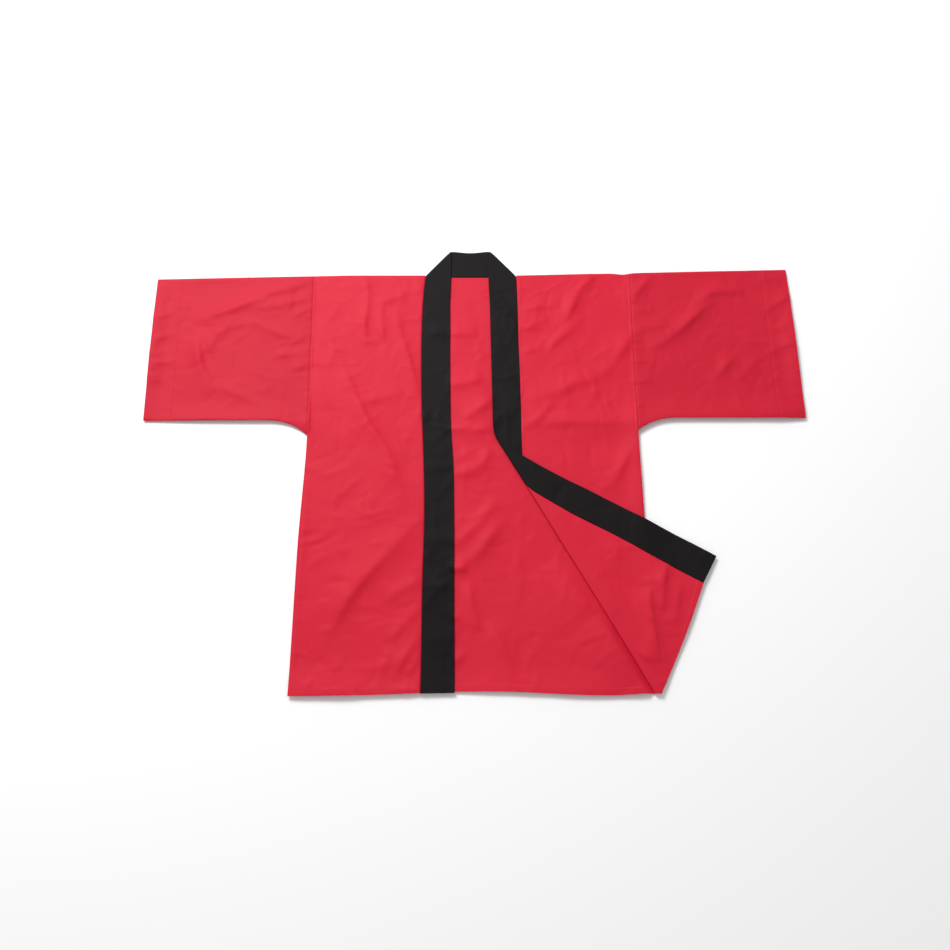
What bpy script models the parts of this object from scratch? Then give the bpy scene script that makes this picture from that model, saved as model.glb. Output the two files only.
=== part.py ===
"""Happi coat, laid out flat on its back with the left front's lower corner turned back.

Frame: metres, origin at the bottom centre of the coat's box. +X is the wearer's left, +Y runs
from hem to neck, +Z is up, so the outside of the two fronts faces up. Six pieces of cloth: the
back, two fronts, two sleeves as flattened tubes, and one long collar strip. Left and right in
names are the wearer's.
"""

from math import cos, exp, pi, sin, sqrt

import bmesh
import bpy
from mathutils import Vector

# ---------------------------------------------------------------- cloth and seams
WALL = 0.0012  # body and sleeve cloth
BAND_WALL = 0.0020  # the collar strip is folded double
SEAM_GAP = 0.0004  # between two pieces sewn edge to edge
CELL = 0.022  # grid of the fronts and sleeves
BACK_CELL = 0.040  # grid of the back, which lies flat
BAND_CELLS = 2  # across the collar strip
ROLL_STEPS = 6  # flats round a rolled fold

# ---------------------------------------------------------------- heights of the cloth's middle
BACK_MID = WALL / 2
FRONT_MID = 0.0025  # a front, or a sleeve's upper layer, over the layer below
EDGE_MID = 0.0021  # a front where it comes down on the back at a fold or side seam
EDGE_RUN = 0.020  # how far in from that edge a front starts to come down
NECK_MID = BAND_WALL / 2  # the collar strip behind the neck lies on the floor
MITRE_MID = 0.0033  # the collar strip where it folds over its neck stretch
TURN_TOP = 0.0085  # the turned-back corner, at the top of its rolled fold
TURN_REST = 0.0050  # the turned-back corner, lying on the front
TURN_FLOOR = 0.0024  # its tip, past the side of the body, near the floor
TURN_SETTLE = 0.050  # how fast it comes down from the rolled fold
TURN_STEP = 0.065  # how fast it comes down past the side of the body

# ---------------------------------------------------------------- the coat's outline
SHOULDER_Y = 0.3950  # the shoulder fold beside the neck
SHOULDER_RISE = 0.0239  # it climbs towards the left cuff and falls towards the right one
LEVEL_FROM, LEVEL_TO = -0.252, 0.088  # it is level between these two X
HEM_Y = -0.4523
FRONT_HEM_RISE = 0.0085  # the front hem climbs towards the centre
BACK_HEM_Y = -0.4440
BACK_HEM_DIP = 0.0068

# wearer's side: sign of X, and X of the armhole at the shoulder, at the armpit, and at the hem
SIDES = {
    "right": {"sign": -1, "armhole": 0.3250, "armpit": 0.3185, "hem": 0.3237},
    "left": {"sign": 1, "armhole": 0.3196, "armpit": 0.3172, "hem": 0.3200},
}
SIDE_FLARE = 0.25  # length over which the side eases from the armpit to its hem width
FRONT_WIDTH = 0.225  # a front, from the side to the collar's seam

# sleeve: X of the cuff at the top and at the bottom, Y of the underarm seam and its drop there
SLEEVES = {
    "right": {"cuff_top": 0.6430, "cuff_low": 0.6365, "under_y": 0.0735, "armpit_y": 0.0425},
    "left": {"cuff_top": 0.6400, "cuff_low": 0.6430, "under_y": 0.0800, "armpit_y": 0.0515},
}
ARMPIT_RUN = 0.086  # the underarm seam curves down to the side seam over this length
ARMPIT_POWER = 2.6
SLEEVE_DEPTH = 0.317  # shoulder fold to underarm seam
SLEEVE_LENGTH = 0.318  # armhole to cuff

# ---------------------------------------------------------------- the collar strip
# right front: y, X of the seam with the front, X of the free edge
BAND_RIGHT = [
    (-0.4480, -0.0916, -0.0316),
    (-0.2800, -0.0916, -0.0341),
    (-0.1200, -0.0906, -0.0352),
    (-0.0120, -0.0943, -0.0379),
    (0.0500, -0.0968, -0.0423),
    (0.1400, -0.1008, -0.0446),
    (0.2580, -0.1020, -0.0460),
    (0.3400, -0.1004, -0.0460),
    (0.3840, -0.0974, -0.0448),
]
# left front, from the shoulder down to where the corner turns back
BAND_LEFT = [
    (0.3840, 0.0880, 0.0318),
    (0.3400, 0.0892, 0.0334),
    (0.2580, 0.0900, 0.0350),
    (0.1780, 0.0918, 0.0365),
    (0.0900, 0.0929, 0.0380),
]
# the last stretch turns from square across the strip to the slant of the fold:
# seam X and Y, free edge X and Y
BAND_TO_FOLD = [
    (0.0932, 0.0500, 0.0383, 0.0680),
    (0.0938, 0.0180, 0.0388, 0.0600),
    (0.0950, -0.0150, 0.0394, 0.0550),
    (0.0970, -0.0466, 0.0401, 0.0508),
]
# the strip on the turned-back corner, inside out: seam X and Y, free edge X and Y
BAND_TURNED = [
    (0.1080, -0.0660, 0.0511, 0.0314),
    (0.1130, -0.0695, 0.0800, 0.0105),
    (0.1220, -0.0755, 0.1120, -0.0095),
    (0.1380, -0.0860, 0.1450, -0.0290),
    (0.1560, -0.0976, 0.1760, -0.0465),
    (0.1760, -0.1102, 0.2038, -0.0610),
    (0.2638, -0.1570, 0.2915, -0.1094),
    (0.3440, -0.2045, 0.3718, -0.1537),
    (0.4199, -0.2482, 0.4479, -0.1973),
]
# the strip behind the neck, and the slanted folds beside it: seam end and free end of each
# fold's middle line, then the free edge half way up to it and just past it
NECK_SEAM_Y = 0.3911
NECK_FREE_Y = 0.4509
MITRE_RIGHT = ((-0.0957, NECK_SEAM_Y), (-0.0440, NECK_FREE_Y))
MITRE_LEFT = ((0.0864, NECK_SEAM_Y), (0.0333, NECK_FREE_Y))
FREE_BELOW_MITRE = {"right": (-0.0445, 0.4150), "left": (0.0322, 0.4150)}
MITRE_STEP = 0.0020
MITRE_CLIMB = (0.350, 0.380)  # the strip rises onto its neck stretch between these two Y
NECK_CLEAR = 0.0022  # the back is cut this much wider than the strip behind the neck

# ---------------------------------------------------------------- the turned-back corner
SIDE_END = (0.3200, -0.4368)  # where the fold meets the side seam, below it
SIDE_END_TOP = (0.3240, -0.4438)  # the same point after the cloth has rolled over
CORNER = (0.3288, -0.4458)  # the hem's outer corner
HEM_BOW = 0.003  # the turned-back hem bows out by this much
TURN_GAP = 0.0009  # from the strip's seam to the panel, measured along the fold

# ---------------------------------------------------------------- the largest folds of the cloth
# height, half width, then the ridge's line on the panel
FADE = 0.15  # a fold starts and ends this share of its length before its height reaches zero
FOLDS = {
    "sleeve_right": [
        (0.0040, 0.018, ((-0.561, 0.282), (-0.471, 0.323), (-0.399, 0.358), (-0.345, 0.378))),
        (0.0042, 0.018, ((-0.541, 0.244), (-0.533, 0.202), (-0.506, 0.141))),
        (0.0026, 0.018, ((-0.483, 0.269), (-0.405, 0.266), (-0.340, 0.246))),
    ],
    "sleeve_left": [
        (0.0048, 0.018, ((0.353, 0.244), (0.403, 0.275), (0.438, 0.307), (0.461, 0.346))),
        (0.0040, 0.018, ((0.461, 0.346), (0.483, 0.367), (0.528, 0.369))),
        (0.0032, 0.018, ((0.475, 0.143), (0.494, 0.169), (0.517, 0.202))),
    ],
    "front_right": [
        (0.0034, 0.020, ((-0.294, 0.222), (-0.231, 0.134), (-0.179, 0.033), (-0.123, -0.118))),
        (0.0046, 0.020, ((-0.110, -0.148), (-0.153, -0.190), (-0.231, -0.293), (-0.263, -0.379))),
        (0.0028, 0.018, ((-0.109, -0.307), (-0.130, -0.347), (-0.146, -0.425))),
    ],
    "front_left": [
        (0.0038, 0.020, ((0.260, 0.370), (0.199, 0.278), (0.157, 0.215))),
        (0.0040, 0.020, ((0.300, 0.250), (0.252, 0.204), (0.191, 0.171), (0.120, 0.122))),
        (0.0028, 0.018, ((0.115, 0.081), (0.300, 0.075))),
    ],
    "back": [
        (0.0020, 0.020, ((0.018, -0.130), (0.002, -0.243))),
    ],
}

RED = (0.75, 0.045, 0.07, 1.0)
BLACK = (0.02, 0.017, 0.018, 1.0)
UP = Vector((0, 0, 1))


# ================================================================ small helpers
def clamp(t):
    return min(max(t, 0.0), 1.0)


def ease(t):
    """0 to 1 with level ends."""
    t = clamp(t)
    return t * t * (3 - 2 * t)


def mix(a, b, t):
    return a + (b - a) * t


def look_up(rows, y, column):
    """The column's value at y, between the two rows of a table that hold it."""
    rows = sorted(rows)
    y = min(max(y, rows[0][0]), rows[-1][0])
    for low, high in zip(rows, rows[1:]):
        if y <= high[0]:
            return mix(low[column], high[column], (y - low[0]) / (high[0] - low[0]))
    return rows[-1][column]


def steps(length, cell):
    return max(1, round(length / cell))


def distance_to_line(x, y, line):
    """Distance to an open line of points, and how far along it the nearest place is."""
    point = Vector((x, y))
    lengths = [(Vector(b) - Vector(a)).length for a, b in zip(line, line[1:])]
    best, place, done = 1e9, 0.0, 0.0
    for a, b, length in zip(line, line[1:], lengths):
        a, b = Vector(a), Vector(b)
        t = clamp((point - a).dot(b - a) / length**2)
        gap = (point - a.lerp(b, t)).length
        if gap < best:
            best, place = gap, done + t * length
        done += length
    return best, place / done


def folds_at(x, y, folds):
    """Height of the cloth's folds at a place: soft ridges that fade towards both ends."""
    rise = 0.0
    for height, half_width, line in folds:
        gap, place = distance_to_line(x, y, line)
        rise += height * exp(-((gap / half_width) ** 2)) * sin(pi * mix(FADE, 1 - FADE, place))
    return rise


# ================================================================ the coat's outline
def shoulder_y(x):
    return SHOULDER_Y + SHOULDER_RISE * (min(x - LEVEL_FROM, 0.0) + max(x - LEVEL_TO, 0.0))


def front_hem_y(x):
    width = SIDES["right"]["hem"] + BAND_RIGHT[0][2]
    return HEM_Y + FRONT_HEM_RISE * clamp((x + SIDES["right"]["hem"]) / width) ** 2


def back_hem_y(x):
    dip = ease((x - 0.03) / 0.20) * (1 - 0.5 * ease((x - 0.24) / 0.08))
    return BACK_HEM_Y - BACK_HEM_DIP * dip


def side_x(y, side):
    """The body's edge: the armhole seam above the armpit and the side seam below it."""
    edge, armpit_y = SIDES[side], SLEEVES[side]["armpit_y"]
    if y > armpit_y:
        x = mix(edge["armpit"], edge["armhole"], (y - armpit_y) / (SHOULDER_Y - armpit_y))
    else:
        x = mix(edge["armpit"], edge["hem"], ease((armpit_y - y) / SIDE_FLARE))
    return edge["sign"] * x


def underarm(x, side):
    """Y of the underarm seam at x, and how much longer than its run in X it is there."""
    sleeve = SLEEVES[side]
    start = SIDES[side]["armpit"] + ARMPIT_RUN
    t = clamp((start - abs(x)) / ARMPIT_RUN)
    drop = sleeve["under_y"] - sleeve["armpit_y"]
    slope = drop * ARMPIT_POWER * t ** (ARMPIT_POWER - 1) / ARMPIT_RUN
    return sleeve["under_y"] - drop * t**ARMPIT_POWER, sqrt(1 + slope**2)


# ================================================================ closed solids from sections
def add_object(name, bm, colour, roughness):
    bmesh.ops.recalc_face_normals(bm, faces=bm.faces[:])
    mesh = bpy.data.meshes.new(name)
    bm.to_mesh(mesh)
    bm.free()
    material = bpy.data.materials.new(name)
    material.use_nodes = True
    shader = material.node_tree.nodes["Principled BSDF"]
    shader.inputs["Base Color"].default_value = colour
    shader.inputs["Roughness"].default_value = roughness
    shader.inputs["Metallic"].default_value = 0.0
    mesh.materials.append(material)
    bpy.context.scene.collection.objects.link(bpy.data.objects.new(name, mesh))


def sheet(name, sections, wall, colour, roughness=0.85):
    """A closed sheet from sections, each a list of (middle point, direction of its outer face)."""
    bm = bmesh.new()
    faces = []
    for side in (0.5, -0.5):
        faces.append([[bm.verts.new(p + n * wall * side) for p, n in row] for row in sections])
    outer, inner = faces
    last_row, last = len(sections) - 1, len(sections[0]) - 1
    for grid, turned in ((outer, False), (inner, True)):
        for i in range(last_row):
            for j in range(last):
                quad = [grid[i][j], grid[i + 1][j], grid[i + 1][j + 1], grid[i][j + 1]]
                bm.faces.new(quad[::-1] if turned else quad)
    rim = [(0, j) for j in range(last)]
    rim += [(i, last) for i in range(last_row)]
    rim += [(last_row, last - j) for j in range(last)]
    rim += [(last_row - i, 0) for i in range(last_row)]
    for (i, j), (k, m) in zip(rim, rim[1:] + rim[:1]):
        bm.faces.new([outer[i][j], outer[k][m], inner[k][m], inner[i][j]])
    add_object(name, bm, colour, roughness)


def roll(start, end, outward, low_to_high, outer_face_out, low, high):
    """Sections round a rolled fold, from the row at its start to the row at its end."""
    radius, centre = (high - low) / 2, (high + low) / 2
    rise = 1 if low_to_high else -1
    sections = []
    for k in range(1, ROLL_STEPS):
        angle = pi * k / ROLL_STEPS
        away = outward * sin(angle) - UP * rise * cos(angle)
        normal = away if outer_face_out else -away
        row = []
        for a, b in zip(start, end):
            foot = a.lerp(b, k / ROLL_STEPS)
            row.append((Vector((foot.x, foot.y, centre)) + away * radius, normal))
        sections.append(row)
    return sections


def across(seam, free, count, height, normal):
    """One section: points from the seam to the free edge, each at its own height."""
    row = []
    for j in range(count + 1):
        foot = Vector(seam).lerp(Vector(free), j / count)
        row.append((Vector((foot.x, foot.y, height(foot.x, foot.y))), normal))
    return row


def feet(section):
    return [Vector((p.x, p.y)) for p, _ in section]


# ================================================================ the turned-back corner's fold
FOLD_START = Vector(BAND_TO_FOLD[-1][:2])
FOLD_ALONG = (Vector(SIDE_END) - FOLD_START).normalized()
FOLD_OUTWARD = Vector((FOLD_ALONG.y, -FOLD_ALONG.x, 0))  # away from the cloth


def turned_height(x, y):
    """Height of the turned-back cloth's middle: off the rolled fold, then down past the side."""
    depth = -(Vector((x, y)) - FOLD_START).dot(FOLD_OUTWARD.xy)
    lying = TURN_REST + (TURN_TOP - TURN_REST) * exp(-((depth / TURN_SETTLE) ** 2))
    past_side = ease((x - SIDES["left"]["armpit"]) / TURN_STEP)
    return mix(lying, TURN_FLOOR, past_side)


# ================================================================ the pieces
def make_back():
    """One panel, flat on the floor, its top edge cut lower behind the neck."""
    neck_right = BAND_RIGHT[-1][1] - NECK_CLEAR
    neck_left = BAND_LEFT[0][1] + NECK_CLEAR
    columns = []
    for low, high in (("right", neck_right), (neck_left, "left")):
        count = steps(FRONT_WIDTH, BACK_CELL)
        columns += [(low, high, j / count) for j in range(count + 1)]
    middle = steps(neck_left - neck_right, BACK_CELL)
    inset = NECK_CLEAR / 2
    neck = [mix(neck_right + inset, neck_left - inset, j / middle) for j in range(middle + 1)]
    count = len(columns) // 2
    columns[count:count] = [(x, x, 0.0) for x in neck]

    rows = steps(SHOULDER_Y - HEM_Y, BACK_CELL)
    sections = []
    for i in range(rows + 1):
        v = i / rows
        level = mix(SHOULDER_Y, HEM_Y, v)
        row = []
        for low, high, u in columns:
            left = side_x(level, low) if isinstance(low, str) else low
            right = side_x(level, high) if isinstance(high, str) else high
            x = mix(left, right, u)
            behind_neck = neck[0] <= x <= neck[-1]
            top = NECK_SEAM_Y - SEAM_GAP if behind_neck else shoulder_y(x)
            y = mix(top, back_hem_y(x), v)
            row.append((Vector((x, y, BACK_MID + folds_at(x, y, FOLDS["back"]))), UP))
        sections.append(row)
    sheet("back", sections, WALL, RED)


def front_height(x, y, name, from_fold, from_side, from_others):
    """Height of a front's middle: down at the shoulder fold and side seam, up on the folds."""
    to_edge = min(from_fold, from_side)
    rest = mix(EDGE_MID, FRONT_MID, ease(to_edge / EDGE_RUN))
    inside = ease(min(to_edge, from_others) / EDGE_RUN)
    return rest + folds_at(x, y, FOLDS[name]) * inside


def front_row(name, side, seam, edge, count, below_shoulder, above_hem):
    """A front's section from its seam with the collar to its side, which may be a slant."""
    row = []
    for j in range(count + 1):
        u = j / count
        foot = seam.lerp(edge, u)
        width = (edge - seam).length
        below_armpit = foot.y < SLEEVES[side]["armpit_y"]
        from_side = (1 - u) * width if below_armpit else width
        from_others = min(u * width, (1 - u) * width, above_hem)
        z = front_height(foot.x, foot.y, name, below_shoulder, from_side, from_others)
        row.append((Vector((foot.x, foot.y, z)), UP))
    return row


def make_front_right():
    """The front that lies flat, from its shoulder fold to its hem."""
    length = SHOULDER_Y - HEM_Y
    rows, count = steps(length, CELL), steps(FRONT_WIDTH, CELL)
    sections = []
    for i in range(rows + 1):
        v = i / rows
        level = mix(SHOULDER_Y, HEM_Y, v)
        seam_x = look_up(BAND_RIGHT, level, 1) - SEAM_GAP
        edge_x = side_x(level, "right")
        ends = []
        for x in (seam_x, edge_x):
            ends.append(Vector((x, mix(shoulder_y(x), front_hem_y(x), v))))
        row = front_row("front_right", "right", *ends, count, v * length, (1 - v) * length)
        sections.append(row)
    sheet("front_right", sections, WALL, RED)


def make_front_left():
    """The front whose lower corner rolls over along a slanted fold and lies inside out."""
    count = steps(FRONT_WIDTH, CELL)
    seam_end = FOLD_START + FOLD_ALONG * TURN_GAP
    side_end = Vector(SIDE_END)
    length = SHOULDER_Y - side_end.y
    rows = steps(length, CELL)
    seam_rows = BAND_LEFT + [(y, x) for x, y, _, _ in BAND_TO_FOLD]
    sections = []
    for i in range(rows + 1):
        v = i / rows
        seam_y = mix(SHOULDER_Y, seam_end.y, v)
        seam = Vector((look_up(seam_rows, seam_y, 1) + TURN_GAP, seam_y))
        edge_y = mix(shoulder_y(SIDES["left"]["armhole"]), side_end.y, v)
        edge = Vector((side_x(edge_y, "left"), edge_y))
        if i == rows:
            seam, edge = seam_end, side_end
        sections.append(front_row("front_left", "left", seam, edge, count, v * length, length))
    for point, _ in sections[-1]:
        point.z = FRONT_MID

    turned = []
    seams = [Vector(row[:2]) for row in BAND_TURNED]
    total = (seams[-1] - seams[0]).length
    hem = (Vector(CORNER) - seams[-1]).normalized()
    hem_outward = Vector((-hem.y, hem.x))
    for a, b in zip(seams, seams[1:]):
        parts = steps((b - a).length, CELL)
        turned += [a.lerp(b, k / parts) for k in range(parts)]
    turned.append(seams[-1])
    flap = []
    for seam in turned:
        v = (seam - seams[0]).length / total
        start = seam + FOLD_ALONG * TURN_GAP
        end = Vector(SIDE_END_TOP).lerp(Vector(CORNER), v)
        row = across(start, end, count, turned_height, -UP)
        for j, (point, _) in enumerate(row):
            bow = HEM_BOW * v**4 * sin(pi * j / count)
            point.xy += hem_outward * bow
        flap.append(row)
    for point, _ in flap[0]:
        point.z = TURN_TOP
    sections += roll(
        feet(sections[-1]), feet(flap[0]), FOLD_OUTWARD, True, False, FRONT_MID, TURN_TOP
    )
    sheet("front_left", sections + flap, WALL, RED)


def make_sleeve(side):
    """A flattened tube: one wall all round, open at the cuff and at the armhole."""
    name = "sleeve_" + side
    sleeve, sign = SLEEVES[side], SIDES[side]["sign"]
    count = steps(SLEEVE_DEPTH, CELL)
    stations = steps(SLEEVE_LENGTH, CELL)
    half_height = (FRONT_MID - BACK_MID) / 2
    centre = (FRONT_MID + BACK_MID) / 2
    fold_out = half_height + WALL / 2
    loops = []
    for i in range(stations + 1):
        even = i / stations
        along = mix(even, 1 - cos(pi / 2 * even), 0.4)  # closer together at the armpit
        layers = []
        for j in range(count + 1):
            t = j / count
            level = mix(SHOULDER_Y, sleeve["armpit_y"], t)
            cuff_x = sign * mix(sleeve["cuff_top"], sleeve["cuff_low"], t)
            arm_x = side_x(level, side) + sign * SEAM_GAP
            x = mix(arm_x, cuff_x, along)
            under_y, lengthen = underarm(x, side)
            y = mix(shoulder_y(x) - fold_out, under_y + fold_out, t)
            layers.append((x, y, lengthen))
        ends = []
        for (x, y, lengthen), way in ((layers[0], 1), (layers[-1], -1)):
            outer_y = y + way * fold_out
            ends.append((x, outer_y, outer_y - way * WALL * lengthen))
        outer, inner = [], []
        for j, (x, y, _) in enumerate(layers):
            t = j / count
            from_edge = min(t, 1 - t) * SLEEVE_DEPTH
            from_end = min(along, 1 - along) * SLEEVE_LENGTH
            lift = folds_at(x, y, FOLDS[name]) * ease(min(from_edge, from_end) / EDGE_RUN)
            outer.append((x, y, FRONT_MID + WALL / 2 + lift))
            inner.append((x, y, FRONT_MID - WALL / 2 + lift))
        outer.append((ends[1][0], ends[1][1], centre))
        inner.append((ends[1][0], ends[1][2], centre))
        for x, y, _ in reversed(layers):
            outer.append((x, y, 0.0))
            inner.append((x, y, WALL))
        outer.append((ends[0][0], ends[0][1], centre))
        inner.append((ends[0][0], ends[0][2], centre))
        loops.append((outer, inner))

    bm = bmesh.new()
    shells = []
    for which in (0, 1):
        shells.append([[bm.verts.new(p) for p in loop[which]] for loop in loops])
    around = len(shells[0][0])
    for shell in shells:
        for i in range(stations):
            for j in range(around):
                k = (j + 1) % around
                bm.faces.new([shell[i][j], shell[i + 1][j], shell[i + 1][k], shell[i][k]])
    outer, inner = shells
    for i in (0, stations):
        for j in range(around):
            k = (j + 1) % around
            bm.faces.new([outer[i][j], outer[i][k], inner[i][k], inner[i][j]])
    add_object(name, bm, RED, 0.85)


def make_collar():
    """One strip: up the right front, over and under behind the neck, down the left front,
    over the rolled fold and along the turned-back edge."""
    climb_from, climb_to = MITRE_CLIMB

    def lying(x, y):
        """Over the back, and a little higher where it folds over its own neck stretch."""
        return mix(FRONT_MID, MITRE_MID, ease((y - climb_from) / (climb_to - climb_from)))

    def level(height):
        return lambda x, y: height

    def stretch(ends, height, normal):
        """Sections between the given ones, a grid cell apart."""
        rows = []
        for a, b in zip(ends, ends[1:]):
            parts = steps(max((b[0] - a[0]).length, (b[1] - a[1]).length), CELL)
            for k in range(parts):
                seam, free = a[0].lerp(b[0], k / parts), a[1].lerp(b[1], k / parts)
                rows.append(across(seam, free, BAND_CELLS, height, normal))
        rows.append(across(*ends[-1], BAND_CELLS, height, normal))
        return rows

    def upright(rows):
        return [(Vector((seam, y)), Vector((free, y))) for y, seam, free in rows]

    def pairs(rows):
        return [(Vector(row[:2]), Vector(row[2:])) for row in rows]

    def toward_mitre(last, mitre, side):
        """A section half turned from square across the strip to the slant of the fold."""
        return last.lerp(mitre, 0.5), Vector(FREE_BELOW_MITRE[side])

    def mitre_outward(mitre, turn):
        slant = (mitre[1] - mitre[0]).normalized()
        return Vector((-slant.y * turn, slant.x * turn, 0))

    mitre_right, mitre_left = (tuple(map(Vector, ends)) for ends in (MITRE_RIGHT, MITRE_LEFT))
    right = upright(BAND_RIGHT)
    right[0] = tuple(Vector((p.x, front_hem_y(p.x))) for p in right[0])
    right.append(toward_mitre(right[-1][0], mitre_right[0], "right"))
    right.append(mitre_right)
    sections = stretch(right, lying, UP)

    neck = [mitre_right]
    for seam_end, free_end in ((mitre_right, 1), (mitre_left, -1)):
        square = Vector((seam_end[1].x, NECK_SEAM_Y))
        neck.append((square, Vector((seam_end[1].x + free_end * MITRE_STEP, NECK_FREE_Y))))
    neck.append(mitre_left)
    behind = stretch(neck, level(NECK_MID), -UP)
    ends = feet(sections[-1]), feet(behind[0])
    sections += roll(*ends, mitre_outward(mitre_right, 1), False, True, NECK_MID, MITRE_MID)
    sections += behind

    upper_left = upright(BAND_LEFT)
    left = [mitre_left, toward_mitre(upper_left[0][0], mitre_left[0], "left")]
    left += upper_left + pairs(BAND_TO_FOLD)
    down = stretch(left, lying, UP)
    ends = feet(behind[-1]), feet(down[0])
    sections += roll(*ends, mitre_outward(mitre_left, -1), True, True, NECK_MID, MITRE_MID)
    sections += down

    flap = stretch(pairs(BAND_TURNED), turned_height, -UP)
    for point, _ in flap[0]:
        point.z = TURN_TOP
    ends = feet(down[-1]), feet(flap[0])
    sections += roll(*ends, FOLD_OUTWARD, True, False, FRONT_MID, TURN_TOP)
    sheet("collar", sections + flap, BAND_WALL, BLACK, roughness=0.9)


def main():
    for old in list(bpy.data.objects):
        bpy.data.objects.remove(old)
    make_back()
    make_front_right()
    make_front_left()
    for side in SIDES:
        make_sleeve(side)
    make_collar()


main()
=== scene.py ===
# %% [markdown]
# # A happi coat, laid out flat
# A happi is a straight-cut festival coat. Its maker cuts only rectangles: one back, two
# fronts, two sleeves folded along the shoulder, and one long collar strip folded double.
# Here it lies on its back on a pale floor, with the lower corner of the wearer's left front
# turned back to show the inside. This lesson builds each cut piece as a thin closed shell of
# cloth over the plain solids of the frame, lays the creases in, and sews it with
# visible stitches.

# %% Load the frame
from math import radians

import bpy
import numpy as np
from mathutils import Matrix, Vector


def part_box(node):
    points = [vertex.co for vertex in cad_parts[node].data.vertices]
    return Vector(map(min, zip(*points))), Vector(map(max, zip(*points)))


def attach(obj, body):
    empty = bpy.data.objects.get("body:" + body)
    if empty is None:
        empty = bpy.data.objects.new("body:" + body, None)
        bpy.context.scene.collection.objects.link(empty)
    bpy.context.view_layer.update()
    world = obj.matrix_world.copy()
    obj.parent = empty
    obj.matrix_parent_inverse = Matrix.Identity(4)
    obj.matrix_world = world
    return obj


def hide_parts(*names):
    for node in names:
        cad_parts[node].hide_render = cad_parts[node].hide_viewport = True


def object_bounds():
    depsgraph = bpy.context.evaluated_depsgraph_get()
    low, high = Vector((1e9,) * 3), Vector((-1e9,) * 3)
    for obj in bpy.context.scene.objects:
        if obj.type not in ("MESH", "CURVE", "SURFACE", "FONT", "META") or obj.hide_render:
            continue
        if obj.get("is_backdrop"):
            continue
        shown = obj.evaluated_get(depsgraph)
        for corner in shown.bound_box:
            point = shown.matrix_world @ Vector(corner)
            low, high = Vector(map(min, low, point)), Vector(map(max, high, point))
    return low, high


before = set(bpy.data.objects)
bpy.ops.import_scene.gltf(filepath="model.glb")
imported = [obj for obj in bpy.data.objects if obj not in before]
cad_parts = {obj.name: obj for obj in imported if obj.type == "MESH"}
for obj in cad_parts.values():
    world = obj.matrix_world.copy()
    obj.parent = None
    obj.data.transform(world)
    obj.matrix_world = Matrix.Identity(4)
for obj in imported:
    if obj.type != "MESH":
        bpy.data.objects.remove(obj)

cad_low, cad_high = (list(corner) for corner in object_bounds())
bpy.ops.object.select_all(action="DESELECT")
print("frame size in mm:", [round(1000 * (b - a), 1) for a, b in zip(cad_low, cad_high)])

# %% [markdown]
# ## Sizes
# All tables here are in millimetres, because that is how cloth is cut, and the meshes are
# scaled to metres when they are made. X runs towards the wearer's left, Y from the hem to
# the neck and Z up. The box sizes come from the frame. The rest are the coat's own outline:
# where the shoulder fold lies, how far the hem bows, and where each seam runs.

# %% Sizes of the cloth
MM = 0.001
CELL = 3.6  # spacing of the cloth's mesh
CLOTH = 0.8  # thickness of one layer of broadcloth
STRIP = 1.8  # the collar strip, folded double with its seam allowances inside
HEM = 12.0  # depth of the turned-up hem
CUFF = 50.0  # depth of the cuff's facing

SPAN_LOW, SPAN_HIGH = cad_low[0] / MM, cad_high[0] / MM
SHOULDER_Y = 395.0  # the shoulder fold beside the neck
SHOULDER_RISE = 0.0239  # its climb towards the wearer's left, outside its level stretch
LEVEL_FROM, LEVEL_TO = -252.0, 88.0
PULL_X, PULL_WIDTH, PULL_DIP = 306.0, 16.0, 3.0  # where the left armhole pulls the fold down
HEM_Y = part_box("front_right")[0][1] / MM
FRONT_HEM_RISE, FRONT_HEM_RUN = 8.5, 292.0  # its climb from the side to the collar
BACK_HEM_Y, BACK_HEM_DIP = -444.0, 6.8
DIP_FROM, DIP_RUN, LIFT_FROM, LIFT_RUN = 30.0, 200.0, 240.0, 80.0  # the dip's course in X

# half widths of the body: at the shoulder fold, the armpit and the hem
SIDES = {
    "right": {"sign": -1, "armhole": 325.0, "armpit": 318.5, "hem": 323.7},
    "left": {"sign": 1, "armhole": 319.6, "armpit": 317.2, "hem": 320.0},
}
# half spans at the cuff's two ends, and Y of the underarm seam at the cuff and at the armpit
SLEEVES = {
    "right": {"cuff_top": -SPAN_LOW, "cuff_low": 636.5, "under_y": 71.5, "armpit_y": 42.0},
    "left": {"cuff_top": 640.0, "cuff_low": SPAN_HIGH, "under_y": 76.5, "armpit_y": 50.5},
}
SIDE_FLARE = 250.0  # how far below the armpit the side seam runs out to its width at the hem
ARMPIT_RUN, ARMPIT_POWER = 86.0, 2.6  # the underarm seam's curve down to the side seam
print("coat:", round(SPAN_HIGH - SPAN_LOW), "mm across,", round(SHOULDER_Y - HEM_Y), "mm long")

# %% [markdown]
# ## Reading curves out of short tables
# A seam is a table with a row for each place where it changes course. `bend` runs a curve
# through the rows, so a seam turns gently instead of at each row. `course` does the same for
# a line in any number of columns, and gives evenly spaced places on it: that is how a crease
# is drawn, and how the two edges of the collar strip are led round its folds together.

# %% Curves


def ease(t):
    """0 to 1 with level ends."""
    t = np.clip(t, 0.0, 1.0)
    return t * t * (3 - 2 * t)


def mix(a, b, t):
    return a + (b - a) * t


def bend(places, values, at):
    """Values on a smooth curve through the given ones, each of which has its own place."""
    slopes = np.gradient(values, places, axis=0)
    at = np.clip(at, places[0], places[-1])
    i = np.clip(np.searchsorted(places, at) - 1, 0, len(places) - 2)
    step = places[i + 1] - places[i]
    t = (at - places[i]) / step
    if values.ndim > 1:
        step, t = step[:, None], t[:, None]
    rise = values[i + 1] - values[i]
    a, b = slopes[i] * step - rise, rise - slopes[i + 1] * step
    return mix(values[i], values[i + 1], t) + t * (1 - t) * (a * (1 - t) + b * t)


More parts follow.
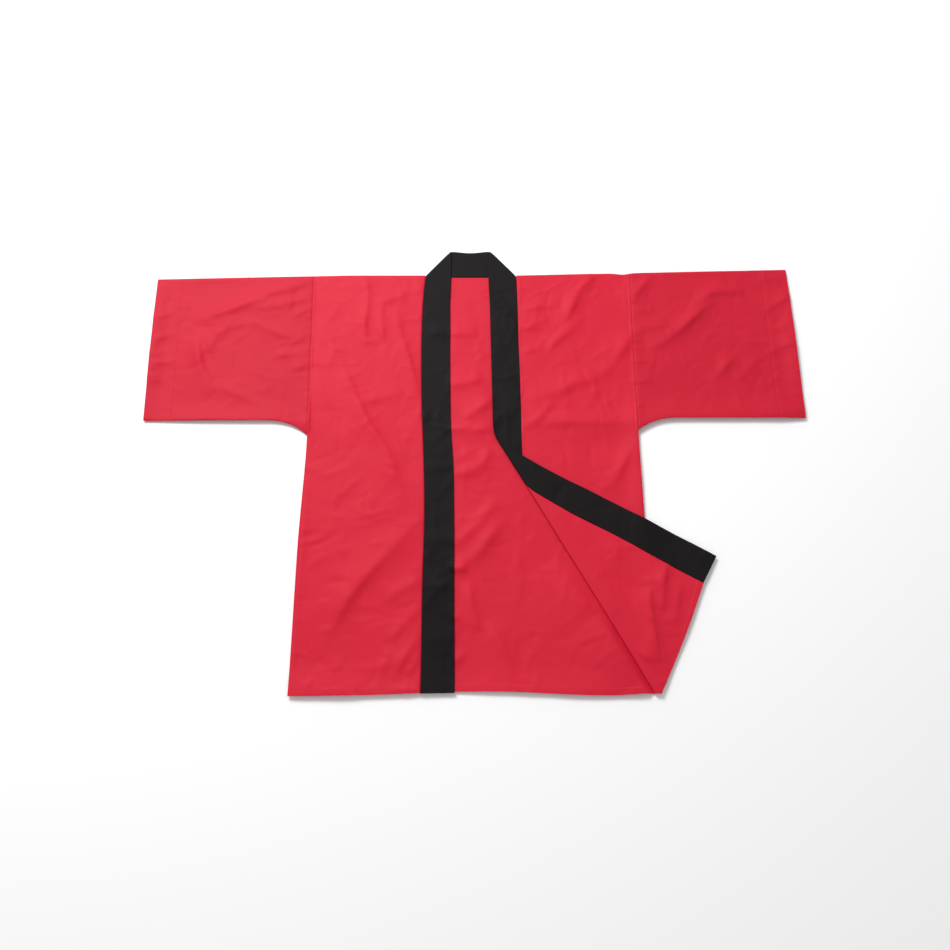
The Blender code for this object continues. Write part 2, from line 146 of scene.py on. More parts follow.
def smooth(rows, at, column):
    """A table's column at a place in its first column."""
    rows = np.array(sorted(rows), float)
    return bend(rows[:, 0], rows[:, column], np.asarray(at, float))


def course(points, spacing):
    """Evenly spaced points on a smooth line through the given ones."""
    points = np.array(points, float)
    lengths = np.linalg.norm(np.diff(points, axis=0), axis=1)
    places = np.concatenate([[0], np.cumsum(lengths)])
    count = max(2, int(round(places[-1] / spacing)) + 1)
    return bend(places, points, np.linspace(0, places[-1], count))


print("a 40 mm line at 5 mm has", len(course([(0, 0), (40, 0)], 5.0)), "places")

# %% Rows and columns of a panel
CLEAR = 0.8  # how far evenly spaced rows keep from a row that is set by hand


def spaced(length, start=(), end=(), cell=CELL, lines=()):
    """Places along a panel: even, and also at given distances from its two ends. The lines
    are further distances from its far end, which the even places keep clear of."""
    low, high = max((0, *start)), length - max((0, *end))
    even = np.linspace(low, high, max(1, int(round((high - low) / cell))) + 1)
    lines = length - np.array(lines, float)
    for line in lines:
        even = even[np.abs(even - line) > CLEAR]
    places = np.concatenate([[0, length], start, length - np.array(end), lines, even])
    return np.unique(np.round(places, 3))


def row_places(width, start, end, count):
    """Distances from the first edge, for rows of any width: fixed near both edges."""
    width = np.asarray(width, float)[:, None]
    start, end = np.array(start)[None], np.array(end)[None, ::-1]
    inner = np.linspace(0, 1, count + 1)[None, 1:-1]
    room = width - start.max() - end.max()
    rows = len(width)
    return np.hstack([np.repeat(start, rows, 0), start.max() + room * inner, width - end])


print("rows of a panel 843 mm long:", len(spaced(843.0)))

# %% [markdown]
# ## Creases
# Cloth that has been folded in a packet and shaken out keeps soft ridges. Each is a row: its
# height, how wide it is on its upper left side and on its lower right side, and the line it
# follows. A ridge that is narrow on one side reads as a fold that has fallen over. The rows
# are in one list for the whole upper layer, sleeves and fronts together, so a crease runs on
# across a seam as it does in cloth.
#
# Between them the cloth is crumpled: short shallow creases, a few centimetres long, scattered
# with a fixed seed. Most run across the cloth, some along it and some on the slant.

# %% Crease tables
# how much fuller each layer's creases stand than its table says
FULLNESS = {"upper": 1.45, "back": 2.2, "turned": 1.9, "band": 1.5}

# height, width on the upper left side, width on the lower right side, line
UPPER_CREASES = [
    # right sleeve
    (3.8, 9, 9, [(-566, 287), (-527, 301), (-488, 315), (-442, 335), (-383, 361), (-321, 386)]),
    (2.4, 8, 8, [(-451, 318), (-401, 323), (-361, 333), (-317, 349)]),
    (1.3, 6, 6, [(-376, 291), (-345, 309), (-314, 328)]),
    (2.4, 9, 7, [
        (-514, 257), (-499, 269), (-478, 278), (-438, 284), (-407, 271), (-376, 256),
        (-320, 254),
    ]),
    (2.2, 7, 5, [(-503, 273), (-517, 248), (-522, 217)]),
    (3.6, 10, 5, [
        (-535, 266), (-546, 237), (-542, 211), (-533, 182), (-521, 156), (-503, 132),
    ]),
    (2.0, 8, 8, [(-510, 149), (-459, 128), (-419, 109), (-370, 77)]),
    (1.6, 6, 6, [(-407, 208), (-367, 215), (-316, 224)]),
    (1.3, 5, 5, [(-363, 180), (-315, 195)]),
    (1.2, 5, 5, [(-652, 291), (-621, 301), (-594, 312)]),
    (1.2, 5, 5, [(-650, 242), (-591, 262)]),
    (1.3, 5, 5, [(-646, 191), (-576, 202)]),
    (1.0, 5, 5, [(-647, 160), (-595, 154)]),
    (1.5, 4, 8, [(-644, 384), (-558, 385), (-477, 387), (-375, 391)]),
    # left sleeve
    (3.0, 9, 6, [(371, 398), (342, 367), (318, 328)]),
    (5.0, 10, 6.5, [(352, 228), (385, 246), (417, 271), (445, 298), (471, 323), (497, 339)]),
    (3.8, 10, 7, [(460, 332), (482, 352), (511, 356), (552, 359)]),
    (2.0, 7, 6, [(313, 271), (351, 274), (392, 284)]),
    (1.3, 5, 5, [(317, 314), (364, 314)]),
    (1.6, 6, 5, [(311, 204), (360, 195)]),
    (1.3, 5, 4, [(308, 154), (352, 156)]),
    (2.5, 7, 5, [(585, 307), (614, 329), (644, 344)]),
    (2.5, 7, 5, [(582, 215), (609, 231), (646, 237)]),
    (3.0, 8, 6, [(468, 154), (494, 182), (512, 206), (523, 219)]),
    (2.4, 8, 7, [(515, 154), (543, 183), (569, 211)]),
    (1.2, 6, 5, [(525, 244), (557, 243), (588, 237)]),
    (1.0, 5, 5, [(572, 273), (640, 271)]),
    (1.6, 4, 8, [(342, 399), (445, 402), (548, 405), (638, 407)]),
    (2.0, 8, 7, [(579, 388), (603, 384), (626, 372)]),
    # right front
    (2.6, 7, 5, [(-219, 395), (-213, 332), (-217, 287), (-213, 226)]),
    (2.4, 7, 5, [(-184, 332), (-184, 287), (-177, 239)]),
    (1.6, 6, 5, [(-206, 326), (-165, 338), (-128, 360)]),
    (2.6, 8, 6, [(-154, 321), (-146, 264), (-132, 219), (-118, 167), (-111, 117)]),
    (2.0, 9, 8, [(-226, 107), (-185, 119), (-135, 137)]),
    (1.4, 8, 7, [(-322, 180), (-289, 124), (-269, 71)]),
    (3.4, 13, 7, [(-279, 233), (-224, 111), (-195, 54), (-166, 12), (-146, -45), (-125, -120)]),
    (5.0, 15, 9, [
        (-91, -116), (-131, -161), (-162, -199), (-197, -239), (-226, -280), (-248, -322),
        (-272, -383),
    ]),
    (2.2, 9, 8, [(-93, -243), (-127, -261), (-161, -285)]),
    (2.4, 8, 6, [(-94, -293), (-127, -329), (-149, -363)]),
    (3.0, 8, 6, [(-93, -340), (-117, -377), (-144, -427)]),
    (2.2, 6, 5, [(-92, -374), (-116, -418)]),
    (1.3, 7, 7, [(-144, -363), (-172, -425)]),
    (1.2, 8, 8, [(-265, -430), (-218, -377)]),
    (1.8, 3, 6, [(-315, -28), (-316, -205), (-319, -370), (-319, -448)]),
    (2.2, 4, 4, [(-324, 134), (-320, 90), (-316, 41)]),
    # left front
    (4.6, 11, 6.5, [(256, 400), (235, 381), (216, 358), (201, 322), (181, 282)]),
    (2.8, 9, 7, [(222, 305), (194, 269), (158, 235), (139, 206)]),
    (1.8, 6, 6, [(94, 266), (123, 281), (151, 298)]),
    (1.8, 8, 6, [(93, 309), (135, 322), (178, 321)]),
    (1.5, 6, 6, [(91, 215), (143, 235)]),
    (3.6, 10, 9, [(321, 275), (301, 232), (279, 202), (255, 169)]),
    (3.6, 12, 12, [(275, 191), (244, 167), (200, 152), (156, 133), (92, 119)]),
    (1.8, 9, 8, [(249, 143), (228, 117), (220, 92)]),
    (4.0, 12, 11, [(110, 66), (188, 70), (246, 69), (323, 69)]),
    (2.0, 8, 7, [(93, 52), (130, 80), (158, 113)]),
    (3.4, 10, 7, [(308, 33), (284, -20), (263, -55), (236, -73)]),
]
# the inside of the back, between the two sides of the collar
BACK_CREASES = [
    (1.8, 8, 6, [(-52, 263), (-21, 261), (10, 261)]),
    (2.2, 8, 8, [(-51, 149), (-12, 154), (22, 167)]),
    (2.4, 8, 7, [(-21, 75), (9, 95), (41, 124)]),
    (2.2, 7, 7, [(-46, 55), (-2, 54), (45, 58)]),
    (2.2, 8, 8, [(-43, -36), (-5, -32), (15, -18), (37, 15)]),
    (2.2, 8, 8, [(-40, -182), (8, -138), (49, -83)]),
    (2.8, 10, 8, [(-40, -229), (4, -199), (32, -163), (64, -120)]),
    (2.2, 5, 4, [(-44, -222), (-27, -223), (-9, -222)]),
    (1.8, 8, 5, [(-7, -243), (-1, -293), (11, -338)]),
    (1.8, 9, 8, [(26, -318), (52, -365), (69, -423)]),
    (1.5, 6, 5, [(-40, -397), (-28, -388), (-10, -372)]),
    (1.2, 6, 5, [(-41, -320), (-19, -305)]),
    (4.0, 26, 15, [(146, -205), (194, -283), (248, -370), (284, -430)]),
    (4.2, 18, 3.5, [(226, -307), (248, -346), (272, -388), (293, -425), (316, -465), (334, -497)]),
]
# the turned-back corner
TURNED_CREASES = [
    (3.8, 11, 5, [(357, -205), (347, -245), (340, -300)]),
    (4.2, 12, 5.5, [(317, -258), (319, -300), (323, -345), (327, -392)]),
    (1.6, 8, 4, [(378, -246), (370, -285), (360, -330)]),
    (1.4, 9, 9, [(258, -161), (263, -205), (254, -243)]),
    (1.2, 11, 10, [(212, -190), (254, -280), (302, -361)]),
    (1.6, 8, 7, [(284, -367), (315, -388), (347, -381)]),
]
# across the collar strip
BAND_CREASES = [
    (1.0, 10, 9, [(-116, 264), (-22, 269)]),
    (1.2, 5, 5, [(-105, 81), (-83, 75)]),
    (1.0, 10, 9, [(-110, -28), (-21, -20)]),
    (1.1, 10, 8, [(-107, -172), (-20, -163)]),
    (1.4, 10, 7, [(-105, -254), (-63, -254), (-20, -259)]),
    (1.0, 10, 9, [(-103, -356), (-19, -349)]),
    (0.9, 10, 9, [(24, 271), (104, 280)]),
    (0.9, 10, 9, [(24, 171), (102, 160)]),
    (1.0, 10, 9, [(23, 85), (111, 100)]),
]
print(len(UPPER_CREASES + BACK_CREASES + TURNED_CREASES + BAND_CREASES), "creases drawn")

# %% Lay the creases in
LINE_STEP = 6.0  # spacing of the points on a crease's line
REACH = 6  # a crease is left out this many widths away
DRAWN_OUT = 1.5  # the upper left flank is this many times as wide as its table says
CREST_SHARE, FOOT_SHARE, FOOT_SPREAD = 0.55, 0.45, 2.6  # a narrow crest on a wide foot


def near(points, line):
    """Signed distance of points from a line, left of it positive, and how far along they are."""
    a, b = line[:-1], line[1:]
    step = b - a
    length = np.linalg.norm(step, axis=1)
    start = np.concatenate([[0], np.cumsum(length)])
    rel = points[:, None, :] - a[None]
    t = np.clip((rel * step).sum(2) / length**2, 0, 1)
    off = rel - t[..., None] * step
    far = np.linalg.norm(off, axis=2)
    best = far.argmin(1)
    pick = np.arange(len(points))
    left = step[best, 0] * rel[pick, best, 1] - step[best, 1] * rel[pick, best, 0] > 0
    place = (start[best] + t[pick, best] * length[best]) / start[-1]
    return np.where(left, 1, -1) * far[pick, best], place


def creases(x, y, table, fullness):
    """Height of all the table's creases at each place."""
    shape, points = np.shape(x), np.stack([np.ravel(x), np.ravel(y)], 1)
    rise = np.zeros(len(points))
    for height, upper_left, lower_right, path in table:
        line = course(path, LINE_STEP)
        reach = REACH * max(upper_left, lower_right)
        close = np.all((points > line.min(0) - reach) & (points < line.max(0) + reach), axis=1)
        if not close.any():
            continue
        side, place = near(points[close], line)
        way = line[-1] - line[0]
        if way[0] + way[1] < 0:
            side = -side
        width = np.where(side > 0, DRAWN_OUT * upper_left, lower_right)
        crest = np.exp(-((side / width) ** 2))
        foot = np.exp(-((side / width / FOOT_SPREAD) ** 2))
        uneven = 0.85 + 0.3 * np.sin(9 * place + 3 * height)
        section = CREST_SHARE * crest * uneven + FOOT_SHARE * foot
        rise[close] += height * section * np.sin(np.pi * place) ** 0.8
    return fullness * rise.reshape(shape)


crest = creases(-162.0, -199.0, UPPER_CREASES, FULLNESS["upper"])
print("the right front's long crease stands", round(float(crest), 1), "mm high")

# %% Crumple the cloth
# across the cloth, along it and on the slant, and how often
CRUMPLE_TURNS, CRUMPLE_SHARES = (0.0, np.pi / 2, 0.8), (0.45, 0.3, 0.25)
CRUMPLE_LENGTHS, CRUMPLE_WIDTHS = (8, 34), (3, 7.5)
RIPPLES = 9  # waves that are added up to one uneven one


def crumples(x, y, seed, count, low=(-650, -455), high=(650, 410)):
    """Short shallow creases scattered over a stretch of cloth."""
    rng = np.random.default_rng(seed)
    shape, x, y = np.shape(x), np.ravel(x), np.ravel(y)
    rise = np.zeros(len(x))
    for _ in range(count):
        a, b = rng.uniform(low, high)
        turn = rng.choice(CRUMPLE_TURNS, p=CRUMPLE_SHARES) + rng.normal(0, 0.35)
        length, width = rng.uniform(*CRUMPLE_LENGTHS), rng.uniform(*CRUMPLE_WIDTHS)
        height = rng.uniform(0.1, 0.12 * width + 0.2) * rng.choice([1, 1, -1])
        sway = rng.normal(0, 0.008)
        close = np.flatnonzero((np.abs(x - a) < 2 * length) & (np.abs(y - b) < 2 * length))
        u, v = x[close] - a, y[close] - b
        along = u * np.cos(turn) + v * np.sin(turn)
        aside = v * np.cos(turn) - u * np.sin(turn) - sway * along**2
        rise[close] += height * np.exp(-((along / length) ** 2) - (aside / width) ** 2)
    return rise.reshape(shape)


def ripple(x, y, size, seed):
    """Shallow uneven waves of about a given length, mostly from -1 to 1."""
    rng = np.random.default_rng(seed)
    total = 0
    for _ in range(RIPPLES):
        angle, phase = rng.uniform(0, 2 * np.pi, 2)
        wave = size * rng.uniform(0.7, 1.6)
        total = total + np.sin(2 * np.pi * (x * np.cos(angle) + y * np.sin(angle)) / wave + phase)
    return total / 5


def swell(x, y, height, size, seed):
    """The same waves, standing up only."""
    return height * np.maximum(1 + ripple(x, y, size, seed), 0)


print("a swell reaches", round(float(swell(np.arange(99.0), 0.0, 0.3, 60, 3).max()), 2), "mm")

# %% [markdown]
# ## The outline
# The shoulder fold, the hems, the side seams and the underarm seams, each as a function of a
# place on it. They are the same rules that the frame's solids follow.

# %% Outline functions


def shoulder_y(x):
    slope = np.minimum(x - LEVEL_FROM, 0) + np.maximum(x - LEVEL_TO, 0)
    dip = PULL_DIP * np.exp(-(((x - PULL_X) / PULL_WIDTH) ** 2))
    return SHOULDER_Y + SHOULDER_RISE * slope - dip


def front_hem_y(x):
    across = np.clip((x + SIDES["right"]["hem"]) / FRONT_HEM_RUN, 0, 1)
    return HEM_Y + FRONT_HEM_RISE * across**2


def back_hem_y(x):
    dip = ease((x - DIP_FROM) / DIP_RUN) * (1 - 0.5 * ease((x - LIFT_FROM) / LIFT_RUN))
    return BACK_HEM_Y - BACK_HEM_DIP * dip


def side_x(y, side):
    edge, armpit_y = SIDES[side], SLEEVES[side]["armpit_y"]
    above = mix(edge["armpit"], edge["armhole"], (y - armpit_y) / (SHOULDER_Y - armpit_y))
    below = mix(edge["armpit"], edge["hem"], ease((armpit_y - y) / SIDE_FLARE))
    return edge["sign"] * np.where(y > armpit_y, above, below)


def underarm_y(x, side):
    sleeve = SLEEVES[side]
    t = np.clip((SIDES[side]["armpit"] + ARMPIT_RUN - np.abs(x)) / ARMPIT_RUN, 0, 1)
    return sleeve["under_y"] - (sleeve["under_y"] - sleeve["armpit_y"]) * t**ARMPIT_POWER


print("shoulder fold at the cuffs:", np.round(shoulder_y(np.array([SPAN_LOW, SPAN_HIGH])), 1))

# %% [markdown]
# ## The collar strip's course
# The strip lies along the front edges, folds over itself in a slanted fold on each side of
# the neck, and on the left turns over with the corner. Its tables give the seam edge and the
# free edge.

# %% Collar tables
# y, X of the seam with the front, X of the free edge
BAND_RIGHT = [
    (-448, -91.8, -31.8),
    (-388, -91.4, -32.4),
    (-258, -91.8, -34.0),
    (-120, -90.6, -35.2),
    (-12, -93.6, -37.9),
    (50, -96.8, -42.0),
    (138, -100.6, -44.6),
    (258, -102.3, -46.0),
    (340, -100.8, -46.2),
    (384, -97.6, -45.0),
]
BAND_LEFT = [
    (384, 88.0, 31.6),
    (340, 89.2, 33.4),
    (258, 90.0, 35.0),
    (178, 91.8, 36.5),
    (90, 92.9, 38.0),
]
# from square across the strip to the slant of the corner's fold: seam X, Y, free edge X, Y
BAND_TO_FOLD = [
    (93.2, 50.0, 38.3, 68.0),
    (93.8, 18.0, 38.8, 60.0),
    (95.0, -15.0, 39.4, 55.0),
    (97.0, -46.6, 40.1, 50.8),
]
# along the turned-back edge, inside out
BAND_TURNED = [
    (107.0, -68.0, 50.6, 29.0),
    (112.2, -72.4, 79.4, 7.7),
    (121.2, -78.6, 111.3, -12.5),
    (137.2, -88.6, 144.3, -32.0),
    (155.4, -99.8, 175.4, -49.2),
    (175.4, -112.0, 203.2, -63.4),
    (263.0, -158.5, 290.8, -111.6),
    (343.2, -206.0, 371.0, -155.5),
    (419.0, -249.8, 447.2, -199.0),
]
BAND_HEM_Y = -447.6
NECK_SEAM_Y, NECK_FREE_Y = 391.1, 451.6
NECK_DIP = 3.2  # how far the free edge behind the neck bows in

# the slanted fold beside the neck on each side: its seam end and its free end
MITRES = {
    "right": np.array([(-95.7, NECK_SEAM_Y), (-44.6, NECK_FREE_Y - 1.6)]),
    "left": np.array([(86.4, NECK_SEAM_Y), (34.0, NECK_FREE_Y - 1.6)]),
}
FREE_BELOW_MITRE = {"right": (-44.8, 415.0), "left": (32.0, 415.0)}

# the corner's slanted fold runs from the strip's seam down to the end of the side seam, and
# the turned-back cloth's own side seam ends a little below that, at its hem
SIDE_END, SIDE_END_TOP = np.array([320.0, -443.0]), np.array([323.0, -447.8])
CORNER = np.array([329.6, -448.8])
HEM_BOW = 3.0  # how far the turned-back hem bows out
FOLD_START = np.array(BAND_TO_FOLD[-1][:2])
FOLD_ALONG = (SIDE_END - FOLD_START) / np.linalg.norm(SIDE_END - FOLD_START)
FOLD_OUT = np.array([FOLD_ALONG[1], -FOLD_ALONG[0]])
print("the corner's fold is", round(float(np.linalg.norm(SIDE_END - FOLD_START))), "mm long")

# %% [markdown]
# ## Heights
# The layers lie on each other: the back on the floor, the fronts on the back, and the corner
# on the front. What lies on a crease is lifted by it, so the heights are added up from the
# floor. Here and there the whole coat stands a little off the floor, at the hem and under
# the sleeves, where the cloth is springy, and that is what makes its soft shadow.

# %% Heights of the cloth's middle
BACK_MID, FRONT_MID, BAND_MID = 0.65, 2.6, 3.2
NECK_MID, NECK_LAP, MITRE_MID = 1.0, 2.15, 4.1  # the strip: behind the neck, on the back, folded
TURN_TOP, TURN_REST, TURN_FLOOR = 9.0, 5.6, 3.0  # the corner: at its fold, on the coat, past it
TURN_SETTLE, TURN_STEP = 50.0, 65.0  # how far it takes to come down from each to the next
TURN_EASE = 18.0  # its creases have their full height this far from the fold
FOOT = 1.55  # the upper layer's middle where it comes down on the back
CLIMB_FROM, CLIMB_TO = 350.0, 380.0  # where the strip climbs onto its own neck stretch

# where the coat stands off the floor: X, Y, reach in X, reach in Y, height
SPRINGS = [
    (-250, -452, 110, 34, 7.0),
    (-110, -452, 70, 32, 3.0),
    (50, -452, 90, 34, 6.0),
    (190, -450, 90, 30, 5.0),
    (-520, 70, 110, 26, 5.0),
    (-390, 62, 80, 26, 5.5),
    (370, 64, 60, 34, 6.0),
    (490, 76, 110, 34, 8.0),
    (320, -30, 26, 120, 7.0),
    (600, 80, 50, 34, 5.0),
    (430, -230, 60, 60, 4.0),
    (385, -330, 50, 70, 4.5),
    (642, 240, 22, 120, 3.0),
    (-640, 200, 20, 120, 2.6),
]
print("the coat springs up to", max(row[-1] for row in SPRINGS), "mm off the floor")

# %% The height of each layer
# the back is creased this near to an X, and all across below a Y. The creases fade out under
# the left front, from a little outside the corner's fold.
OPEN_X, OPEN_HALF, OPEN_Y, OPEN_FADE = 60.0, 160.0, 90.0, 60.0
FOLD_CLEAR, FOLD_FADE = 4.0, 10.0
TURNED_EDGE = (92.0, 2.2, 0.563)  # X and Y on the turned-back corner's upper edge, and its fall
SINK = -0.8  # the upper layer's deepest hollow


def spring(x, y):
    return sum(h * np.exp(-(((x - a) / p) ** 2) - ((y - b) / q) ** 2) for a, b, p, q, h in SPRINGS)


def past_fold(x, y):
    """Distance from the corner's slanted fold, positive where the coat is open beside it."""
    return (x - FOLD_START[0]) * FOLD_OUT[0] + (y - FOLD_START[1]) * FOLD_OUT[1]


def back_height(x, y):
    """The back, creased where it shows."""
    between = ease((OPEN_HALF - np.abs(x - OPEN_X)) / OPEN_FADE)
    below = ease((OPEN_Y - y) / OPEN_FADE)
    shown = np.minimum(between + below, 1) * ease((SHOULDER_Y - y) / 30)
    rise = creases(x, y, BACK_CREASES, FULLNESS["back"]) + swell(x, y, 0.3, 60, 3)
    rise = rise + crumples(x, y, 21, 420, (-60, -455), (330, 390))
    covered = ease((FOLD_CLEAR - past_fold(x, y)) / FOLD_FADE)
    shown = shown * np.where(x > FOLD_START[0], 1 - covered, 1)
    return BACK_MID + np.maximum(rise, 0) * shown + spring(x, y)


def ride(x, y):
    """How much what lies on the back is lifted by it."""
    return back_height(x, y) - BACK_MID


def under_corner(x, y):
    """1 where the turned-back corner hides the front, easing to 0 outside it."""
    edge_x, edge_y, fall = TURNED_EDGE
    below_edge = edge_y - fall * (x - edge_x) + 22 - y
    return ease(below_edge / 26) * (x > 60)


def upper_height(x, y):
    """Relief of the upper layer, fronts and sleeves alike, before its edges come down."""
    rise = creases(x, y, UPPER_CREASES, FULLNESS["upper"]) + 0.45 * ripple(x, y, 75, 5)
    rise = rise + crumples(x, y, 7, 1500)
    return np.maximum(rise, SINK) * (1 - under_corner(x, y))


def fold_down(height, foot, distance, radius):
    """A layer that rounds over and comes down to its foot at a fold or side seam."""
    t = np.clip(distance / radius, 0, 1)
    return foot + (height - foot) * np.sqrt(np.maximum(1 - (1 - t) ** 2, 0))


def turned_height(x, y):
    """The turned-back corner: off its rolled fold, then down past the side of the body."""
    depth = -past_fold(x, y)
    on_coat = TURN_REST + (TURN_TOP - TURN_REST) * np.exp(-((depth / TURN_SETTLE) ** 2))
    resting = mix(on_coat, TURN_FLOOR, ease((x - SIDES["left"]["armpit"]) / TURN_STEP))
    rise = creases(x, y, TURNED_CREASES, FULLNESS["turned"]) + swell(x, y, 0.4, 60, 8)
    rise = rise + crumples(x, y, 33, 160, (95, -450), (450, 0))
    return resting + (rise + spring(x, y)) * ease(depth / TURN_EASE)


print("on the left chest the strip lies", round(float(BAND_MID + ride(60.0, 200.0)), 1), "mm up")

# %% [markdown]
# ## A closed shell of cloth
# A piece of cloth is a grid of middle points. Its outer and inner faces stand half a
# thickness off it along the cloth's own normal, which turns over where the cloth does, and
# a rim closes them. Where a hem is turned up, the inner face stands further off. The place of
# each point on the cut piece goes in a UV map, so the weave follows the cloth round every
# fold, and stitches are set along a row or column of the same grid.

# %% Shells
SHARP = radians(55)
print("edges stay sharp above", round(np.degrees(SHARP)), "degrees")


def cloth_normals(middle, around):
    """The cloth's normal at each point: the mean of the faces round it."""
    grid = np.concatenate([middle, middle[:, :1]], axis=1) if around else middle
    n = np.cross(grid[1:, 1:] - grid[:-1, :-1], grid[:-1, 1:] - grid[1:, :-1])
    n /= np.maximum(np.linalg.norm(n, axis=2, keepdims=True), 1e-9)
    total = np.zeros_like(grid)
    for rows in (slice(None, -1), slice(1, None)):
        for columns in (slice(None, -1), slice(1, None)):
            total[rows, columns] += n
    if around:
        total[:, 0] += total[:, -1]
        total = total[:, :-1]
    return total / np.maximum(np.linalg.norm(total, axis=2, keepdims=True), 1e-9)


def shell(name, middle, outer, inner, pattern, around=False):
    """A closed piece of cloth from its middle and the thickness on each side. All in mm.
    The pattern's grid has one more column than a middle that goes around."""
    normal = cloth_normals(middle, around)
    rows, columns = middle.shape[:2]
    size = rows * columns
    above = middle + normal * np.broadcast_to(outer, (rows, columns))[..., None]
    below = middle - normal * np.broadcast_to(inner, (rows, columns))[..., None]
    index = np.arange(size).reshape(rows, columns)
    places = np.arange(rows * pattern.shape[1]).reshape(rows, -1)
    if around:
        index = np.concatenate([index, index[:, :1]], axis=1)

    def corners(grid):
        return np.stack([grid[:-1, :-1], grid[1:, :-1], grid[1:, 1:], grid[:-1, 1:]], -1)

    def rims(grid):
        if around:
            return [grid[0, ::-1], grid[-1]]
        return [np.concatenate([grid[0, ::-1], grid[1:, 0], grid[-1, 1:], grid[-2::-1, -1]])]

    top = corners(index).reshape(-1, 4)
    top_uv = corners(places).reshape(-1, 4)
    faces, uvs = [top, top[:, ::-1] + size], [top_uv, top_uv[:, ::-1]]
    for line, line_uv in zip(rims(index), rims(places)):
        p, q = line[:-1], line[1:]
        faces.append(np.stack([q, p, p + size, q + size], -1))
        p, q = line_uv[:-1], line_uv[1:]
        uvs.append(np.stack([q, p, p, q], -1))
    faces, uvs = np.concatenate(faces), np.concatenate(uvs)
    mesh = bpy.data.meshes.new(name)
    points = np.concatenate([above.reshape(-1, 3), below.reshape(-1, 3)]) * MM
    mesh.from_pydata(points.tolist(), [], faces.tolist())
    layer = mesh.uv_layers.new(name="Pattern")
    layer.data.foreach_set("uv", (pattern.reshape(-1, 2) * MM)[uvs.ravel()].ravel())
    mesh.shade_smooth()
    mesh.set_sharp_from_angle(angle=SHARP)
    piece = bpy.data.objects.new(name, mesh)
    bpy.context.scene.collection.objects.link(piece)
    print(f"{name}: {2 * len(faces)} triangles")
    return {"piece": piece, "above": above, "below": below, "normal": normal}


# %% [markdown]
# ## The back
# One rectangle from shoulder to hem. Its inside shows between the two sides of the collar,
# with the hem turned up and stitched: a double edge 12 mm deep whose upper edge stands up
# as a fine line.

# %% Make the back
# rows near a hem, as distances from it
HEM_LINES = (0, 0.4, 1.1, 3.2, 6.0, HEM - 2.4, HEM - 1.0, HEM - 0.4, HEM + 0.2, HEM + 0.8, HEM + 2.4)
HEM_ROW = -7  # the stitches run along this row of a panel, 1 mm inside the turned-up edge
LAP = 2.5  # how far one piece runs on under the next at a seam
NECK_LINE = NECK_SEAM_Y + 1.8  # the back's top edge, under the collar
NECK_MARGIN = 2.2  # how much wider than the strip it is cut there
BACK_WIDTH, BACK_CELL = 640.0, CELL * 1.15  # a panel's width sets its number of columns
SIDE_LINES = (0, 0.5, 1.4, 3.0)  # columns near its sides, as distances from them
TURN_UP, UNDERNEATH = 0.5, 0.6  # a turned-up edge's thickness, and its share on a hidden face


def turned_up(distance, depth=HEM):
    """Extra thickness of a turned-up edge at a distance from it."""
    return TURN_UP * ease((depth + 0.2 - distance) / 0.6)


def rounded(distance, half):
    """Half thickness of cloth that is rounded off at an edge."""
    t = np.clip(distance / half, 0.03, 1)
    return half * np.sqrt(1 - (1 - t) ** 2)


def make_back():
    length = SHOULDER_Y - BACK_HEM_Y
    down = spaced(length, (0.8, 2.4), HEM_LINES, BACK_CELL)
    v = (down / length)[:, None]
    level = mix(SHOULDER_Y, BACK_HEM_Y, v)
    low, high = side_x(level, "right"), side_x(level, "left")
    x = low + row_places((high - low)[:, 0], SIDE_LINES, SIDE_LINES, int(BACK_WIDTH / BACK_CELL))
    neck_right, neck_left = MITRES["right"][0][0] - NECK_MARGIN, MITRES["left"][0][0] + NECK_MARGIN
    at_neck = (x > neck_right) & (x < neck_left)
    y = mix(np.where(at_neck, NECK_LINE, shoulder_y(x)), back_hem_y(x), v)
    middle = np.stack([x, y, back_height(x, y)], -1)
    from_hem = (1 - v) * length
    outer = CLOTH / 2 + turned_up(from_hem)
    return shell("back_cloth", middle, outer, CLOTH / 2, middle[..., :2])


back = make_back()

# %% [markdown]
# ## The fronts
# Each front hangs from the shoulder fold. Its inner edge runs on under the collar strip. Its
# outer edge is the armhole seam above the armpit, where the seam allowance is pressed under
# the body and lifts it as a narrow band beside the stitching. Below the armpit it is the side
# seam, where the layer rounds over and comes down on the back.
#
# The right front lies flat. The left one lies flat down to a slanted line, rolls over there,
# and lies back on itself inside out, so its hem faces the side.

# %% Make the right front
SIDE_ROUND, SHOULDER_ROUND = 7.0, 6.0  # over how wide a strip a layer rounds down at a fold
# columns near the outer edge and the collar seam, and rows near the shoulder
EDGE_LINES = (0, 0.4, 1.0, 1.8, 2.8, 4.0, 5.2, 6.4)
SEAM_LINES = (0, 0.8, 1.8, LAP, 3.2, 4.2, 5.6)
SHOULDER_LINES = (0, 0.3, 0.9, 1.9, 3.3, 5.0)
BUTT_GAP = 0.35  # between two pieces that meet edge to edge
LAP_TOP = 386.0  # above this Y a front meets the strip edge to edge
RIGHT_WIDTH = 228.0
# the armhole's seam allowance lifts the body beside the seam, most where the armpit pulls on it
ALLOWANCE, ALLOWANCE_WIDTH = 0.5, 5.0
PULLED, PULLED_ABOVE, PULLED_REACH = 3, 34.0, 15.0
GROOVE, BAND_GROOVE = 0.5, 1.0  # how deep the stitching draws the cloth in


def seam_lap(y, low=-1000.0):
    """How far a front runs on under the collar strip: not at the shoulder or at the fold."""
    return LAP * ease((LAP_TOP - y) / 10) * ease((y - low) / 25)


